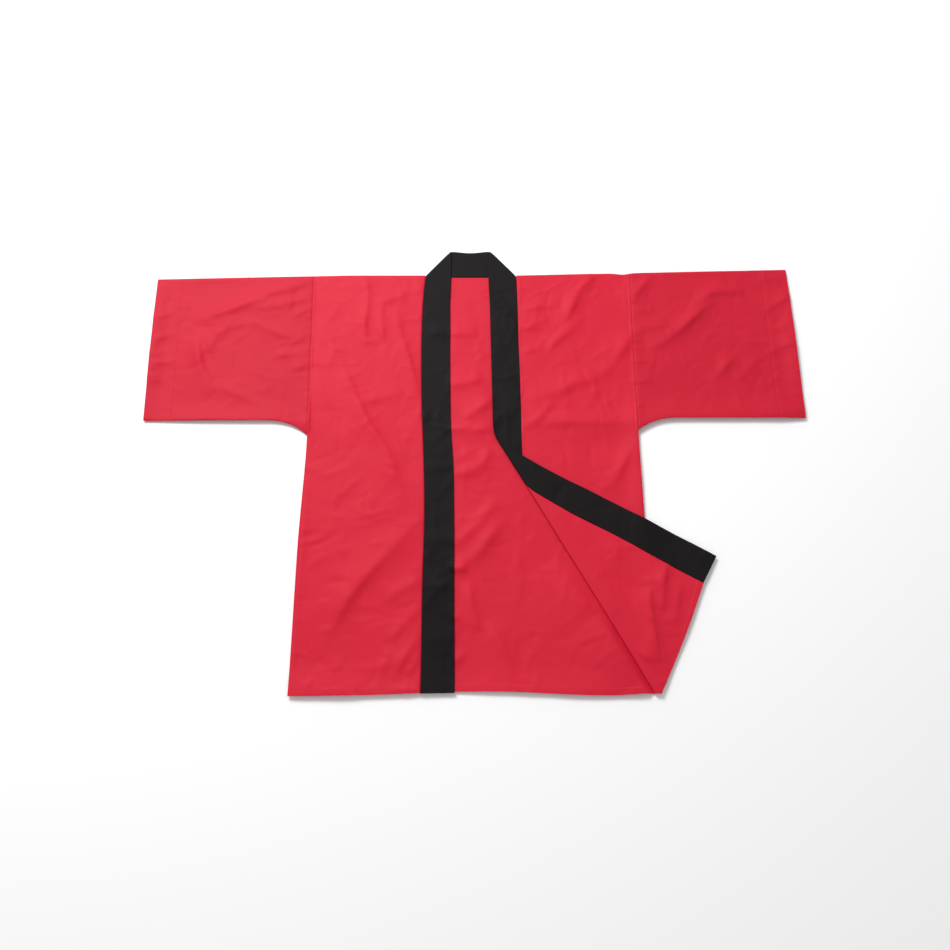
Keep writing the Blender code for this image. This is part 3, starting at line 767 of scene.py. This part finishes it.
def front_z(x, y, side, from_shoulder, from_side, past_band):
    """A front's height: over the back, with creases, down at its folds and seams."""
    armpit_y = SLEEVES[side]["armpit_y"]
    below_armpit = ease((armpit_y - y) / 10)
    height = FRONT_MID + upper_height(x, y) * ease(past_band / 8)
    pulled = 1 + PULLED * np.exp(-(((y - armpit_y - PULLED_ABOVE) / PULLED_REACH) ** 2))
    uneven = 0.75 + 0.25 * np.sin(y / 2.7)
    allowance = ALLOWANCE * pulled * ease((ALLOWANCE_WIDTH - from_side) / 1.8) * uneven
    groove = GROOVE * np.exp(-((from_side / 0.7) ** 2))
    height = height + (allowance - groove) * (1 - below_armpit)
    height = height - BAND_GROOVE * (1 - ease(past_band / 1.6))
    rounded_side = fold_down(height, FOOT, from_side, SIDE_ROUND)
    height = mix(height, rounded_side, below_armpit)
    return fold_down(height, FOOT, from_shoulder, SHOULDER_ROUND) + ride(x, y)


def make_front_right():
    length = SHOULDER_Y - HEM_Y
    down = spaced(length, SHOULDER_LINES, HEM_LINES)
    v = (down / length)[:, None]
    level = mix(SHOULDER_Y, HEM_Y, v)
    edge = side_x(level, "right")
    lap = seam_lap(level) - BUTT_GAP * (level > LAP_TOP)
    seam = smooth(BAND_RIGHT, level, 1) + lap
    width = (seam - edge)[:, 0]
    from_side = row_places(width, EDGE_LINES, SEAM_LINES, int(RIGHT_WIDTH / CELL))
    x = edge + from_side
    y = mix(shoulder_y(x), front_hem_y(x), v)
    past_band = width[:, None] - from_side - lap
    z = front_z(x, y, "right", v * length, from_side, past_band)
    middle = np.stack([x, y, z], -1)
    inner = CLOTH / 2 + turned_up((1 - v) * length) * UNDERNEATH
    return shell("front_right_cloth", middle, CLOTH / 2, inner, middle[..., :2])


front_right = make_front_right()

# %% Roll a layer over
ROLL_STEPS = 14
print("the corner's fold is rolled in", ROLL_STEPS, "steps")


def rolled(start, end, outward, steps, share=1):
    """Rows round a fold, from the row where it starts to the row where it ends."""
    radius = np.abs(end[:, 2] - start[:, 2]) / 2 * share
    rows = []
    for k in range(1, steps):
        angle = np.pi * k / steps
        row = mix(start, end, k / steps)
        row[:, :2] += outward * (radius * np.sin(angle))[:, None]
        row[:, 2] = mix(start[:, 2], end[:, 2], (1 - np.cos(angle)) / 2)
        rows.append(row)
    return np.array(rows)


def laid_open(flat, roll, turned):
    """Places on the cut piece, with the turned-back part laid open again past the fold."""
    arc = np.pi / 2 * (turned[0, 0, 2] - flat[-1, 0, 2])
    share = np.arange(1, len(roll) + 1)[:, None, None] / (len(roll) + 1)
    round_fold = flat[-1:, :, :2] + FOLD_OUT * arc * share
    depth = (FOLD_START - turned[..., :2]) @ FOLD_OUT
    opened = turned[..., :2] + FOLD_OUT * (2 * depth + arc)[..., None]
    return np.concatenate([flat[..., :2], round_fold, opened])


# %% The left front's two parts
LEFT_WIDTH, LEFT_CELL = 330.0, CELL * 1.1
LEFT_COLUMNS = int(LEFT_WIDTH / CELL)
TURNED_GROOVE = 0.9  # as BAND_GROOVE, on the corner's inside
NEAR_FOLD, LEAST_MID = 0.9, FRONT_MID - 0.6  # down there its hollows are no deeper than this
print("the left front has", LEFT_COLUMNS, "columns between its edges")


def hanging_part():
    """The left front, from the shoulder down to its slanted fold."""
    seam_rows = [row[:2] for row in BAND_LEFT] + [(y, x) for x, y, _, _ in BAND_TO_FOLD[1:]]
    seam_end = FOLD_START + FOLD_ALONG * BUTT_GAP
    length = SHOULDER_Y - SIDE_END[1]
    down = spaced(length, SHOULDER_LINES, (), LEFT_CELL)
    v = (down / length)[:, None]
    seam_y = mix(SHOULDER_Y, seam_end[1], v)
    lap = seam_lap(seam_y, seam_end[1] + 8) - BUTT_GAP * (1 - ease((LAP_TOP - seam_y) / 10))
    seam_x = smooth(seam_rows, seam_y, 1) - lap
    edge_y = mix(shoulder_y(SIDES["left"]["armhole"]), SIDE_END[1], v)
    edge_x = side_x(edge_y, "left")
    seam, edge = np.hstack([seam_x, seam_y]), np.hstack([edge_x, edge_y])
    seam[-1] = seam_end
    width = np.linalg.norm(edge - seam, axis=1)
    from_seam = row_places(width, SEAM_LINES, EDGE_LINES, LEFT_COLUMNS)
    share = (from_seam / width[:, None])[..., None]
    flat = mix(seam[:, None], edge[:, None], share)
    x, y = flat[..., 0], flat[..., 1]
    fold = shoulder_y(x)
    y = y + (fold - mix(fold[:, :1], fold[:, -1:], share[..., 0])) * (1 - v) ** 8
    past_band = from_seam - lap
    from_side = width[:, None] - from_seam
    z = front_z(x, y, "left", v * length, from_side, past_band)
    near_fold = ease((v - NEAR_FOLD) / 0.1)
    z = mix(z, np.maximum(z, LEAST_MID), near_fold)
    return np.stack([x, y, z], -1)


def turned_part():
    """The turned-back corner from the fold to its hem, and each row's distance from the hem."""
    line = course([row[:2] for row in BAND_TURNED], 2.0)
    reach = np.linalg.norm(line - line[0], axis=1)
    hem_distance = reach[-1] - spaced(reach[-1], (), HEM_LINES, LEFT_CELL)[:, None]
    seams = np.stack([np.interp(reach[-1] - hem_distance[:, 0], reach, c) for c in line.T], 1)
    spread = 1 - hem_distance / reach[-1]
    starts = seams + FOLD_ALONG * BUTT_GAP * 1.5
    ends = mix(SIDE_END_TOP, CORNER, spread)
    hem_way = (CORNER - seams[-1]) / np.linalg.norm(CORNER - seams[-1])
    hem_out = np.array([-hem_way[1], hem_way[0]])
    width = np.linalg.norm(ends - starts, axis=1)
    from_seam = row_places(width, SEAM_LINES, EDGE_LINES, LEFT_COLUMNS)
    share = from_seam / width[:, None]
    turned = mix(starts[:, None], ends[:, None], share[..., None])
    turned = turned + hem_out * (HEM_BOW * spread**4 * np.sin(np.pi * share))[..., None]
    z = turned_height(turned[..., 0], turned[..., 1])
    z = z - TURNED_GROOVE * (1 - ease(from_seam / 1.8))
    return np.concatenate([turned, z[..., None]], -1), hem_distance


# %% Make the left front
def make_front_left():
    flat = hanging_part()
    turned, hem_distance = turned_part()
    roll = rolled(flat[-1], turned[0], FOLD_OUT, ROLL_STEPS)
    middle = np.concatenate([flat, roll, turned])
    inner = np.full(middle.shape[:2], CLOTH / 2)
    inner[-len(turned) :] += turned_up(hem_distance)
    return shell("front_left_cloth", middle, CLOTH / 2, inner, laid_open(flat, roll, turned))


front_left = make_front_left()

# %% [markdown]
# ## The sleeves
# A sleeve is one rectangle folded along the shoulder and closed by the underarm seam, so it
# is a flattened tube, open at the cuff and at the armhole. The underarm seam curves down to
# the side seam. The cuff is faced with a strip 50 mm deep, turned in, whose stitching shows
# as a faint line, and its two layers stand a few millimetres apart. At the armhole the
# sleeve's upper layer runs on under the body, and is eased in, which puckers it.

# %% Make the sleeves
MOUTH, MOUTH_REACH = 4.0, 36.0  # how far a cuff's upper layer is lifted, and how far in
PUCKER, FACING_GROOVE = 0.5, 0.3  # the armhole's gathers, and the line of the cuff's stitching
LOWER_ROUND = 1.2  # as SHOULDER_ROUND, on the lower layer
CUFF_LINES = (CUFF - 1, CUFF - 0.3, CUFF + 0.2, CUFF + 1)  # from the cuff; sewn on the first
UNDER_ROUND = {"right": 6.0, "left": 12.0}  # as SHOULDER_ROUND, along the underarm seam


def sleeve_loop(near_edge, length, cell):
    """Distances from the shoulder fold: down the upper layer, then back up the lower one."""
    upper = spaced(length, near_edge, near_edge, cell)
    lower = spaced(length, near_edge, near_edge, cell * 2)[1:-1]
    return np.concatenate([upper, lower[::-1]]), len(upper)


def make_sleeve(side):
    sleeve, edge, sign = SLEEVES[side], SIDES[side], SIDES[side]["sign"]
    length = SHOULDER_Y - sleeve["under_y"]
    reach = sleeve["cuff_low"] - edge["armpit"]
    around, n = sleeve_loop(SHOULDER_LINES, length, CELL)
    places = spaced(reach, (0, 0.7, 1.6, 2.6, 3.8), (0, 0.4, 1.2), lines=CUFF_LINES)
    sewn = int(np.abs(places - (reach - CUFF_LINES[0])).argmin())
    along, t = (places / reach)[:, None], (around / length)[None]
    on_upper = (np.arange(len(around)) < n)[None]
    from_edge = np.minimum(t, 1 - t) * length
    level = mix(SHOULDER_Y, sleeve["armpit_y"], t)
    cuff_x = sign * mix(sleeve["cuff_top"], sleeve["cuff_low"], t)
    lap = LAP * ease(from_edge / 6) * on_upper
    arm_x = side_x(level, side) + sign * (BUTT_GAP - lap)
    x = mix(arm_x, cuff_x, along)
    y = mix(shoulder_y(x), underarm_y(x, side), t)

    from_seam = np.abs(x - side_x(level, side)) * np.where(along * reach < lap, -1, 1)
    from_cuff = np.abs(cuff_x - x)
    low = BACK_MID + spring(x, y)
    relief = upper_height(x, y)
    wave = np.sin(y / 2.6 + 2 * np.sin(y / 31))
    pucker = PUCKER * wave * np.exp(-np.maximum(from_seam, 0) / 8)
    seam_dip = -(0.75 - 0.2 * wave) * (1 - ease((from_seam - 0.2) / 2.0))
    facing = -FACING_GROOVE * np.exp(-(((from_cuff - CUFF) / 1.1) ** 2))
    high = FRONT_MID + relief + seam_dip + pucker * ease(from_seam / 2) + facing + spring(x, y)
    high = high + MOUTH * ease((MOUTH_REACH - from_cuff) / MOUTH_REACH) * np.sin(np.pi * t) ** 0.7
    centre = (BACK_MID + FRONT_MID) / 2 + spring(x, y)
    radius = np.where(t < 0.5, SHOULDER_ROUND, UNDER_ROUND[side])
    upper = fold_down(high, centre, from_edge, radius)
    lower = fold_down(low, centre, from_edge, LOWER_ROUND)
    z = np.where(on_upper, upper, lower)
    middle = np.stack([x, y, z], -1)

    inner = CLOTH / 2 + turned_up(from_cuff, CUFF) * UNDERNEATH
    over = np.where(on_upper, around, 2 * length - around)
    pattern = np.stack([x, np.broadcast_to(over, x.shape)], -1)
    closing = np.stack([x[:, 0], np.full(len(x), 2 * length)], -1)
    pattern = np.concatenate([pattern, closing[:, None]], axis=1)
    if sign > 0:
        middle, inner, pattern = middle[::-1], inner[::-1], pattern[::-1]
        sewn = len(places) - 1 - sewn
    made = shell(f"sleeve_{side}_cloth", middle, CLOTH / 2, inner, pattern, around=True)
    made["seam"] = (sewn, slice(3, n - 3))
    return made


sleeves = {side: make_sleeve(side) for side in SIDES}

# %% [markdown]
# ## The collar
# One long strip, folded double and filled with its own seam allowances, so it is thicker and
# stiffer than the body. It runs up the right front, folds under itself in a slant beside the
# neck, passes behind the neck inside out, folds out again, runs down the left front, and
# turns over with the corner. Each section of the strip is a line from its free edge to its
# seam, and the sections are led round all the folds in one go.

# %% Lay out the strip
BAND_EDGE = (0, 0.15, 0.45, 0.9, 1.6)  # points near both edges, as distances from them
BAND_WIDTH = 60.0
WELT_AT, WELT_WIDTH, WELT = 3.6, 1.3, 0.09  # the neck seam shows as a low welt
NECK_RUN = 15.0  # over this distance the strip comes down off the back's edge
ON_CORNER = 0.15  # how far its middle lies above the turned-back corner's
print("the strip is", BAND_WIDTH, "mm wide")


def strip(rows, height):
    """A grid of middle points across the strip, from its free edge to its seam. Its rows
    are seam X, Y and free edge X, Y."""
    seam, free = rows[:, None, :2], rows[:, None, 2:]
    width = np.linalg.norm(rows[:, :2] - rows[:, 2:], axis=1)
    from_free = row_places(width, BAND_EDGE, BAND_EDGE, int(BAND_WIDTH / CELL))
    share = from_free / width[:, None]
    flat = mix(free, seam, share[..., None])
    x, y = flat[..., 0], flat[..., 1]
    z = height(x, y)
    return np.concatenate([flat, z[..., None]], -1), np.minimum(from_free, width[:, None] - from_free)


def lying(x, y):
    climb = ease((y - CLIMB_FROM) / (CLIMB_TO - CLIMB_FROM))
    waves = swell(x, y, 0.3, 70, 12) + creases(x, y, BAND_CREASES, FULLNESS["band"])
    waves = waves + np.maximum(crumples(x, y, 51, 260, (-110, -450), (115, 385)), 0)
    return mix(BAND_MID, MITRE_MID, climb) + (waves + ride(x, y)) * (1 - climb)


def behind_neck(x, y):
    over = y - NECK_SEAM_Y
    welt = WELT * np.exp(-(((over - WELT_AT) / WELT_WIDTH) ** 2))
    waves = swell(x, y, 0.25, 45, 16) * ease(over / 12)
    return NECK_MID + (NECK_LAP - NECK_MID) * ease((NECK_RUN - over) / NECK_RUN) + welt + waves


def turned_back(x, y):
    return turned_height(x, y) + ON_CORNER


# %% Sections of the strip
BAND_CELL, NECK_CELL = CELL * 1.5, CELL * 1.2


def upright(rows):
    """Sections square across the strip, from a table of y, seam X and free edge X."""
    return [(seam, y, free, y) for y, seam, free in rows]


def to_mitre(last, side):
    """Sections that turn from square across the strip to the slant of the fold."""
    mitre = MITRES[side]
    half = (*mix(np.array(last[:2]), mitre[0], 0.5), *FREE_BELOW_MITRE[side])
    return [half, tuple(mitre.ravel())]


def neck_sections():
    """Sections behind the neck, from the right slanted fold to the left one."""
    squares = []
    for side, step in (("right", 2.0), ("left", -2.0)):
        free_x = MITRES[side][1][0]
        squares.append((free_x, NECK_SEAM_Y, free_x + step, NECK_FREE_Y))
    corners = np.array([MITRES["right"].ravel(), *squares, MITRES["left"].ravel()])
    rows = []
    for start, end in zip(corners, corners[1:]):
        parts = max(2, int(abs(end[0] - start[0]) / NECK_CELL))
        rows += [mix(start, end, k / parts) for k in range(parts)]
    rows = np.array(rows + [corners[-1]])
    across = (rows[:, 2] - corners[0][2]) / (corners[-1][2] - corners[0][2])
    rows[:, 3] -= NECK_DIP * np.sin(np.pi * across) ** 2
    return rows


print(len(neck_sections()), "sections behind the neck")

# %% Make the collar
MITRE_STEPS = 8
MITRE_TAPER = 9.0  # the slanted fold flattens out this close to its free corner


def mitre_roll(start, end, side, turn):
    """Rows round the slanted fold beside the neck."""
    slant = MITRES[side][1] - MITRES[side][0]
    outward = np.array([-slant[1], slant[0]]) * turn / np.linalg.norm(slant)
    from_free = np.linalg.norm(start[:, :2] - start[0, :2], axis=1)
    return rolled(start, end, outward, MITRE_STEPS, np.minimum(from_free / MITRE_TAPER, 1))


def make_collar():
    right = upright(BAND_RIGHT)
    seam, _, free, _ = right[0]
    right[0] = (seam, BAND_HEM_Y, free, BAND_HEM_Y + 0.8)
    right += to_mitre(right[-1], "right")
    left = upright(BAND_LEFT)
    left = to_mitre(left[0], "left")[::-1] + left + BAND_TO_FOLD
    up, up_edge = strip(course(right, BAND_CELL), lying)
    behind, behind_edge = strip(neck_sections(), behind_neck)
    down, down_edge = strip(course(left, BAND_CELL), lying)
    turned, turned_edge = strip(course(BAND_TURNED, BAND_CELL), turned_back)
    parts = [
        (up, up_edge),
        (mitre_roll(up[-1], behind[0], "right", 1), up_edge[-1:]),
        (behind, behind_edge),
        (mitre_roll(behind[-1], down[0], "left", -1), down_edge[:1]),
        (down, down_edge),
        (rolled(down[-1], turned[0], FOLD_OUT, ROLL_STEPS), down_edge[-1:]),
        (turned, turned_edge),
    ]
    middle = np.concatenate([part for part, _ in parts])
    edge = np.concatenate([np.repeat(e, len(p), 0) if len(e) == 1 else e for p, e in parts])
    half = rounded(edge, STRIP / 2)
    lengths = np.linalg.norm(np.diff(middle.mean(1), axis=0), axis=1)
    run = np.concatenate([[0], np.cumsum(lengths)])
    print("collar strip:", round(run[-1]), "mm long")
    place = np.broadcast_to(np.linspace(0, BAND_WIDTH, middle.shape[1])[None], middle.shape[:2])
    pattern = np.stack([place, np.broadcast_to(run[:, None], place.shape)], -1)
    made = shell("collar_cloth", middle, half, half, pattern)
    made["length"] = run[-1] * MM
    return made


collar = make_collar()

# %% [markdown]
# ## Stitches
# The hems and cuffs are sewn with red thread, in stitches 2 mm long. Each is a small rounded
# bar that lies on the cloth along its line. They are set along a row of the panel's own
# faces, so they follow every crease.

# %% Sew the hems and cuffs
STITCH, PITCH, THREAD = 2.0, 2.9, 0.34  # length, distance from one to the next, half thickness
AROUND = 6  # corners round a stitch


def stitches(name, line, normal):
    """A row of stitches along a line of points on the cloth, with the cloth's normals there."""
    lengths = np.concatenate([[0], np.cumsum(np.linalg.norm(np.diff(line, axis=0), axis=1))])
    places = np.arange(PITCH, lengths[-1] - PITCH, PITCH * (1))
    centre = np.stack([np.interp(places, lengths, c) for c in line.T], 1)
    up = np.stack([np.interp(places, lengths, c) for c in normal.T], 1)
    ahead = np.stack([np.interp(places + 1, lengths, c) for c in line.T], 1) - centre
    ahead /= np.linalg.norm(ahead, axis=1, keepdims=True)
    aside = np.cross(up, ahead)
    half = STITCH / 2
    rings = [(-half, 0.03), (-half * 0.8, 0.75), (half * 0.8, 0.75), (half, 0.03)]
    angles = np.arange(AROUND) * np.pi / 3
    points = []
    for place, size in rings:
        radius = THREAD * size
        for angle in angles:
            out = aside * (np.cos(angle) * radius) + up * ((0.1 + np.sin(angle)) * radius)
            points.append(centre + ahead * place + out)
    points = np.stack(points, 1)
    count = len(rings) * AROUND
    sides = []
    for ring in range(len(rings) - 1):
        for k in range(AROUND):
            a, b = ring * AROUND + k, ring * AROUND + (k + 1) % AROUND
            sides.append((a, b, b + AROUND, a + AROUND))
    caps = [list(range(AROUND - 1, -1, -1)), list(range(count - AROUND, count))]
    first = (np.arange(len(places)) * count)[:, None, None]
    sides, caps = np.array(sides) + first, np.array(caps) + first
    mesh = bpy.data.meshes.new(name)
    all_faces = sides.reshape(-1, 4).tolist() + caps.reshape(-1, AROUND).tolist()
    mesh.from_pydata((points.reshape(-1, 3) * MM).tolist(), [], all_faces)
    mesh.shade_smooth()
    piece = bpy.data.objects.new(name, mesh)
    bpy.context.scene.collection.objects.link(piece)
    print(f"{name}: {len(places)} stitches")
    return piece


# panel, the face that shows, which way it faces, and the part of the row that is sewn
hems = {
    "back": (back, "above", 1, slice(4, -4)),
    "front_right": (front_right, "above", 1, slice(6, -8)),
    "front_left": (front_left, "below", -1, slice(8, -8)),
}
seams = {}
for node, (made, face, way, sewn) in hems.items():
    line, normal = made[face][HEM_ROW, sewn], way * made["normal"][HEM_ROW, sewn]
    seams[node] = stitches(f"{node}_hem_stitches", line, normal)
for side, made in sleeves.items():
    line, normal = made["above"][made["seam"]], made["normal"][made["seam"]]
    seams[f"sleeve_{side}"] = stitches(f"sleeve_{side}_cuff_stitches", line, normal)

# %% [markdown]
# ## Cloth finishes
# The body is a matt red cotton broadcloth in plain weave, two threads to the millimetre. Its
# yarns are uneven, which shows as faint streaks along and across the cloth, and its surface
# carries a little fuzz, which the sheen stands for. The sleeves are cut with the grain
# across. Their red is painted a shade deeper, as painted shade for the dimmer light that this
# grain gives back. The collar is the same cloth in black.

# %% Weave the broadcloth
THREADS = 2000  # to the metre
print("a thread is", 1000 / THREADS, "mm wide")


def fill(node, values):
    """Set sockets by name."""
    for socket, value in values.items():
        node.inputs[socket].default_value = value


def plain(name, values):
    """A finish that is the same all over."""
    material = bpy.data.materials.new(name)
    material.use_nodes = True
    fill(material.node_tree.nodes["Principled BSDF"], values)
    return material


def cloth(name, colour, darker, gloss, sheen, sheen_tint):
    """Broadcloth: a plain weave with uneven yarns and faint blotches."""
    soft = {"Sheen Weight": sheen, "Sheen Roughness": 0.55, "Sheen Tint": sheen_tint}
    material = plain(name, {"Roughness": 0.6, "Specular IOR Level": gloss, **soft})
    nodes, links = material.node_tree.nodes, material.node_tree.links
    shader = nodes["Principled BSDF"]

    def add(kind, **settings):
        node = nodes.new(kind)
        for key, value in settings.items():
            setattr(node, key, value)
        return node

    place = add("ShaderNodeUVMap", uv_map="Pattern")

    def scaled(x, y):
        node = add("ShaderNodeMapping")
        fill(node, {"Scale": (x, y, 1)})
        links.new(place.outputs["UV"], node.inputs["Vector"])
        return node.outputs["Vector"]

    def noise(vector, size, detail):
        node = add("ShaderNodeTexNoise", noise_dimensions="2D")
        fill(node, {"Scale": size, "Detail": detail})
        links.new(vector, node.inputs["Vector"])
        return node.outputs["Fac"]

    def math(operation, a, b=None):
        node = add("ShaderNodeMath", operation=operation)
        for socket, value in zip(node.inputs, (a, b)):
            if isinstance(value, (int, float)):
                socket.default_value = value
            elif value is not None:
                links.new(value, socket)
        return node.outputs["Value"]

    apart = add("ShaderNodeSeparateXYZ")
    links.new(scaled(np.pi * THREADS, np.pi * THREADS), apart.inputs["Vector"])
    warp = math("SINE", apart.outputs["X"])
    weft = math("SINE", apart.outputs["Y"])
    weave = math("MULTIPLY", warp, weft)
    streaks = math("ADD", noise(scaled(900, 40), 1.0, 2.0), noise(scaled(40, 900), 1.0, 2.0))
    height = math("ADD", math("MULTIPLY", weave, 0.35), math("MULTIPLY", streaks, 0.9))
    bump = add("ShaderNodeBump")
    fill(bump, {"Strength": 0.5, "Distance": 0.00012})
    links.new(height, bump.inputs["Height"])
    links.new(bump.outputs["Normal"], shader.inputs["Normal"])

    blotches = noise(scaled(14, 14), 1.0, 3.0)
    tone = math("ADD", math("MULTIPLY", streaks, 0.55), math("MULTIPLY", blotches, 0.45))
    blend = add("ShaderNodeMix", data_type="RGBA")
    fill(blend, {"A": (*darker, 1), "B": (*colour, 1)})
    span = add("ShaderNodeMapRange")
    fill(span, {"From Min": 0.35, "From Max": 1.05})
    links.new(tone, span.inputs["Value"])
    links.new(span.outputs["Result"], blend.inputs["Factor"])
    links.new(blend.outputs["Result"], shader.inputs["Base Color"])
    return material


# %% Make the finishes
RED, RED_SHADE = (0.622, 0.0088, 0.034), (0.574, 0.0063, 0.028)
# the sleeves' red is painted a shade deeper than the body's: painted shade for the dimmer light their
# crossways grain gives back
SLEEVE_RED_PAINTED_DEEPER, SLEEVE_SHADE_PAINTED_DEEPER = (0.562, 0.0080, 0.031), (0.519, 0.0060, 0.026)
BLACK, BLACK_SHADE = (0.0082, 0.0058, 0.0064), (0.0058, 0.0040, 0.0045)
RED_FUZZ, BLACK_FUZZ = (0.04, (1, 0.6, 0.6, 1)), (0.01, (1, 1, 1, 1))
red = cloth("red_broadcloth", RED, RED_SHADE, 0.205, *RED_FUZZ)
# the sleeves' finish: the same broadcloth with its red painted a shade deeper as painted shade
red_across_painted_shade = cloth("red_broadcloth_across_painted_shade", SLEEVE_RED_PAINTED_DEEPER, SLEEVE_SHADE_PAINTED_DEEPER, 0.18, *RED_FUZZ)
black = cloth("black_broadcloth", BLACK, BLACK_SHADE, 0.10, *BLACK_FUZZ)
red_thread = plain("red_thread", {"Base Color": (0.60, 0.028, 0.052, 1), "Roughness": 0.7})
print("finishes:", [finish.name for finish in (red, red_across_painted_shade, black, red_thread)])

# %% [markdown]
# ## Put the pieces in place of the frame's solids
# Each piece stands for its solid, which is hidden, and gets its finish. The flat sizes
# are those of each piece once sewn, all round on the sleeves, which are tubes. The fronts hang
# a little below the back, so they are the longer ones.

panels = {
    "back": (back, (0.645, 0.842), "laid", []),
    "front_right": (front_right, (0.230, 0.847), "laid", ["back_cloth"]),
    "front_left": (front_left, (0.236, 0.850), "folded", ["back_cloth"]),
    "sleeve_right": (sleeves["right"], (0.318, 0.650), "laid", []),
    "sleeve_left": (sleeves["left"], (0.322, 0.640), "laid", []),
    "collar": (collar, (0.060, collar["length"]), "folded", ["back_cloth"]),
}
for node, (made, flat, held, below) in panels.items():
    piece, is_collar = made["piece"], node == "collar"
    # the sleeves take the red that is painted a shade deeper as painted shade
    finish = red_across_painted_shade if node.startswith("sleeve") else red
    piece.data.materials.append(black if is_collar else finish)
    if node in seams:
        seams[node].data.materials.append(red_thread)
        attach(seams[node], "root")
    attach(piece, "root")
    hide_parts(node)
print(len(panels), "pieces of cloth,", len(seams), "rows of stitches")

# %% [markdown]
# ## Floor, light and camera
# A pale floor and a wide soft lamp from the upper left, under an even pale sky, as in a light
# tent. The camera looks down steeply on the coat from its hem side.

# %% Set the stage
bpy.ops.mesh.primitive_plane_add(size=14)
floor = bpy.context.object
floor.name = "floor"
whiteness = {"Base Color": (0.95, 0.95, 0.95, 1), "Roughness": 0.95, "Specular IOR Level": 0.1}
floor.data.materials.append(plain("white_paper", whiteness))
floor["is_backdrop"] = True

sky = bpy.data.worlds.new("sky")
bpy.context.scene.world = sky
sky.use_nodes = True
fill(sky.node_tree.nodes["Background"], {"Color": (1, 1, 1, 1), "Strength": 0.56})

LAMP_AT, LAMP_SIZE, LAMP_POWER = (-1.15, 1.9, 2.35), 1.2, 91
bpy.ops.object.light_add(type="AREA", location=LAMP_AT)
lamp = bpy.context.object
lamp.name = "lamp"
lamp.data.shape = "SQUARE"
lamp.data.size = LAMP_SIZE
lamp.data.energy = LAMP_POWER
lamp.rotation_euler = (-lamp.location).to_track_quat("-Z", "Y").to_euler()

ELEVATION, TARGET, AWAY, LENS = 70.0, (0.004, -0.0385, 0.0), 1.8645, 37.24
tilt = radians(ELEVATION)
camera_data = bpy.data.cameras.new("camera")
camera_data.lens = LENS
camera = bpy.data.objects.new("camera", camera_data)
bpy.context.scene.collection.objects.link(camera)
camera.location = (
    TARGET[0],
    TARGET[1] - AWAY * np.cos(tilt),
    TARGET[2] + AWAY * np.sin(tilt),
)
camera.rotation_euler = (radians(90 - ELEVATION), 0, 0)
bpy.context.scene.camera = camera
bpy.context.scene.view_settings.view_transform = "Standard"
print("camera", AWAY, "m away,", ELEVATION, "degrees above the floor")
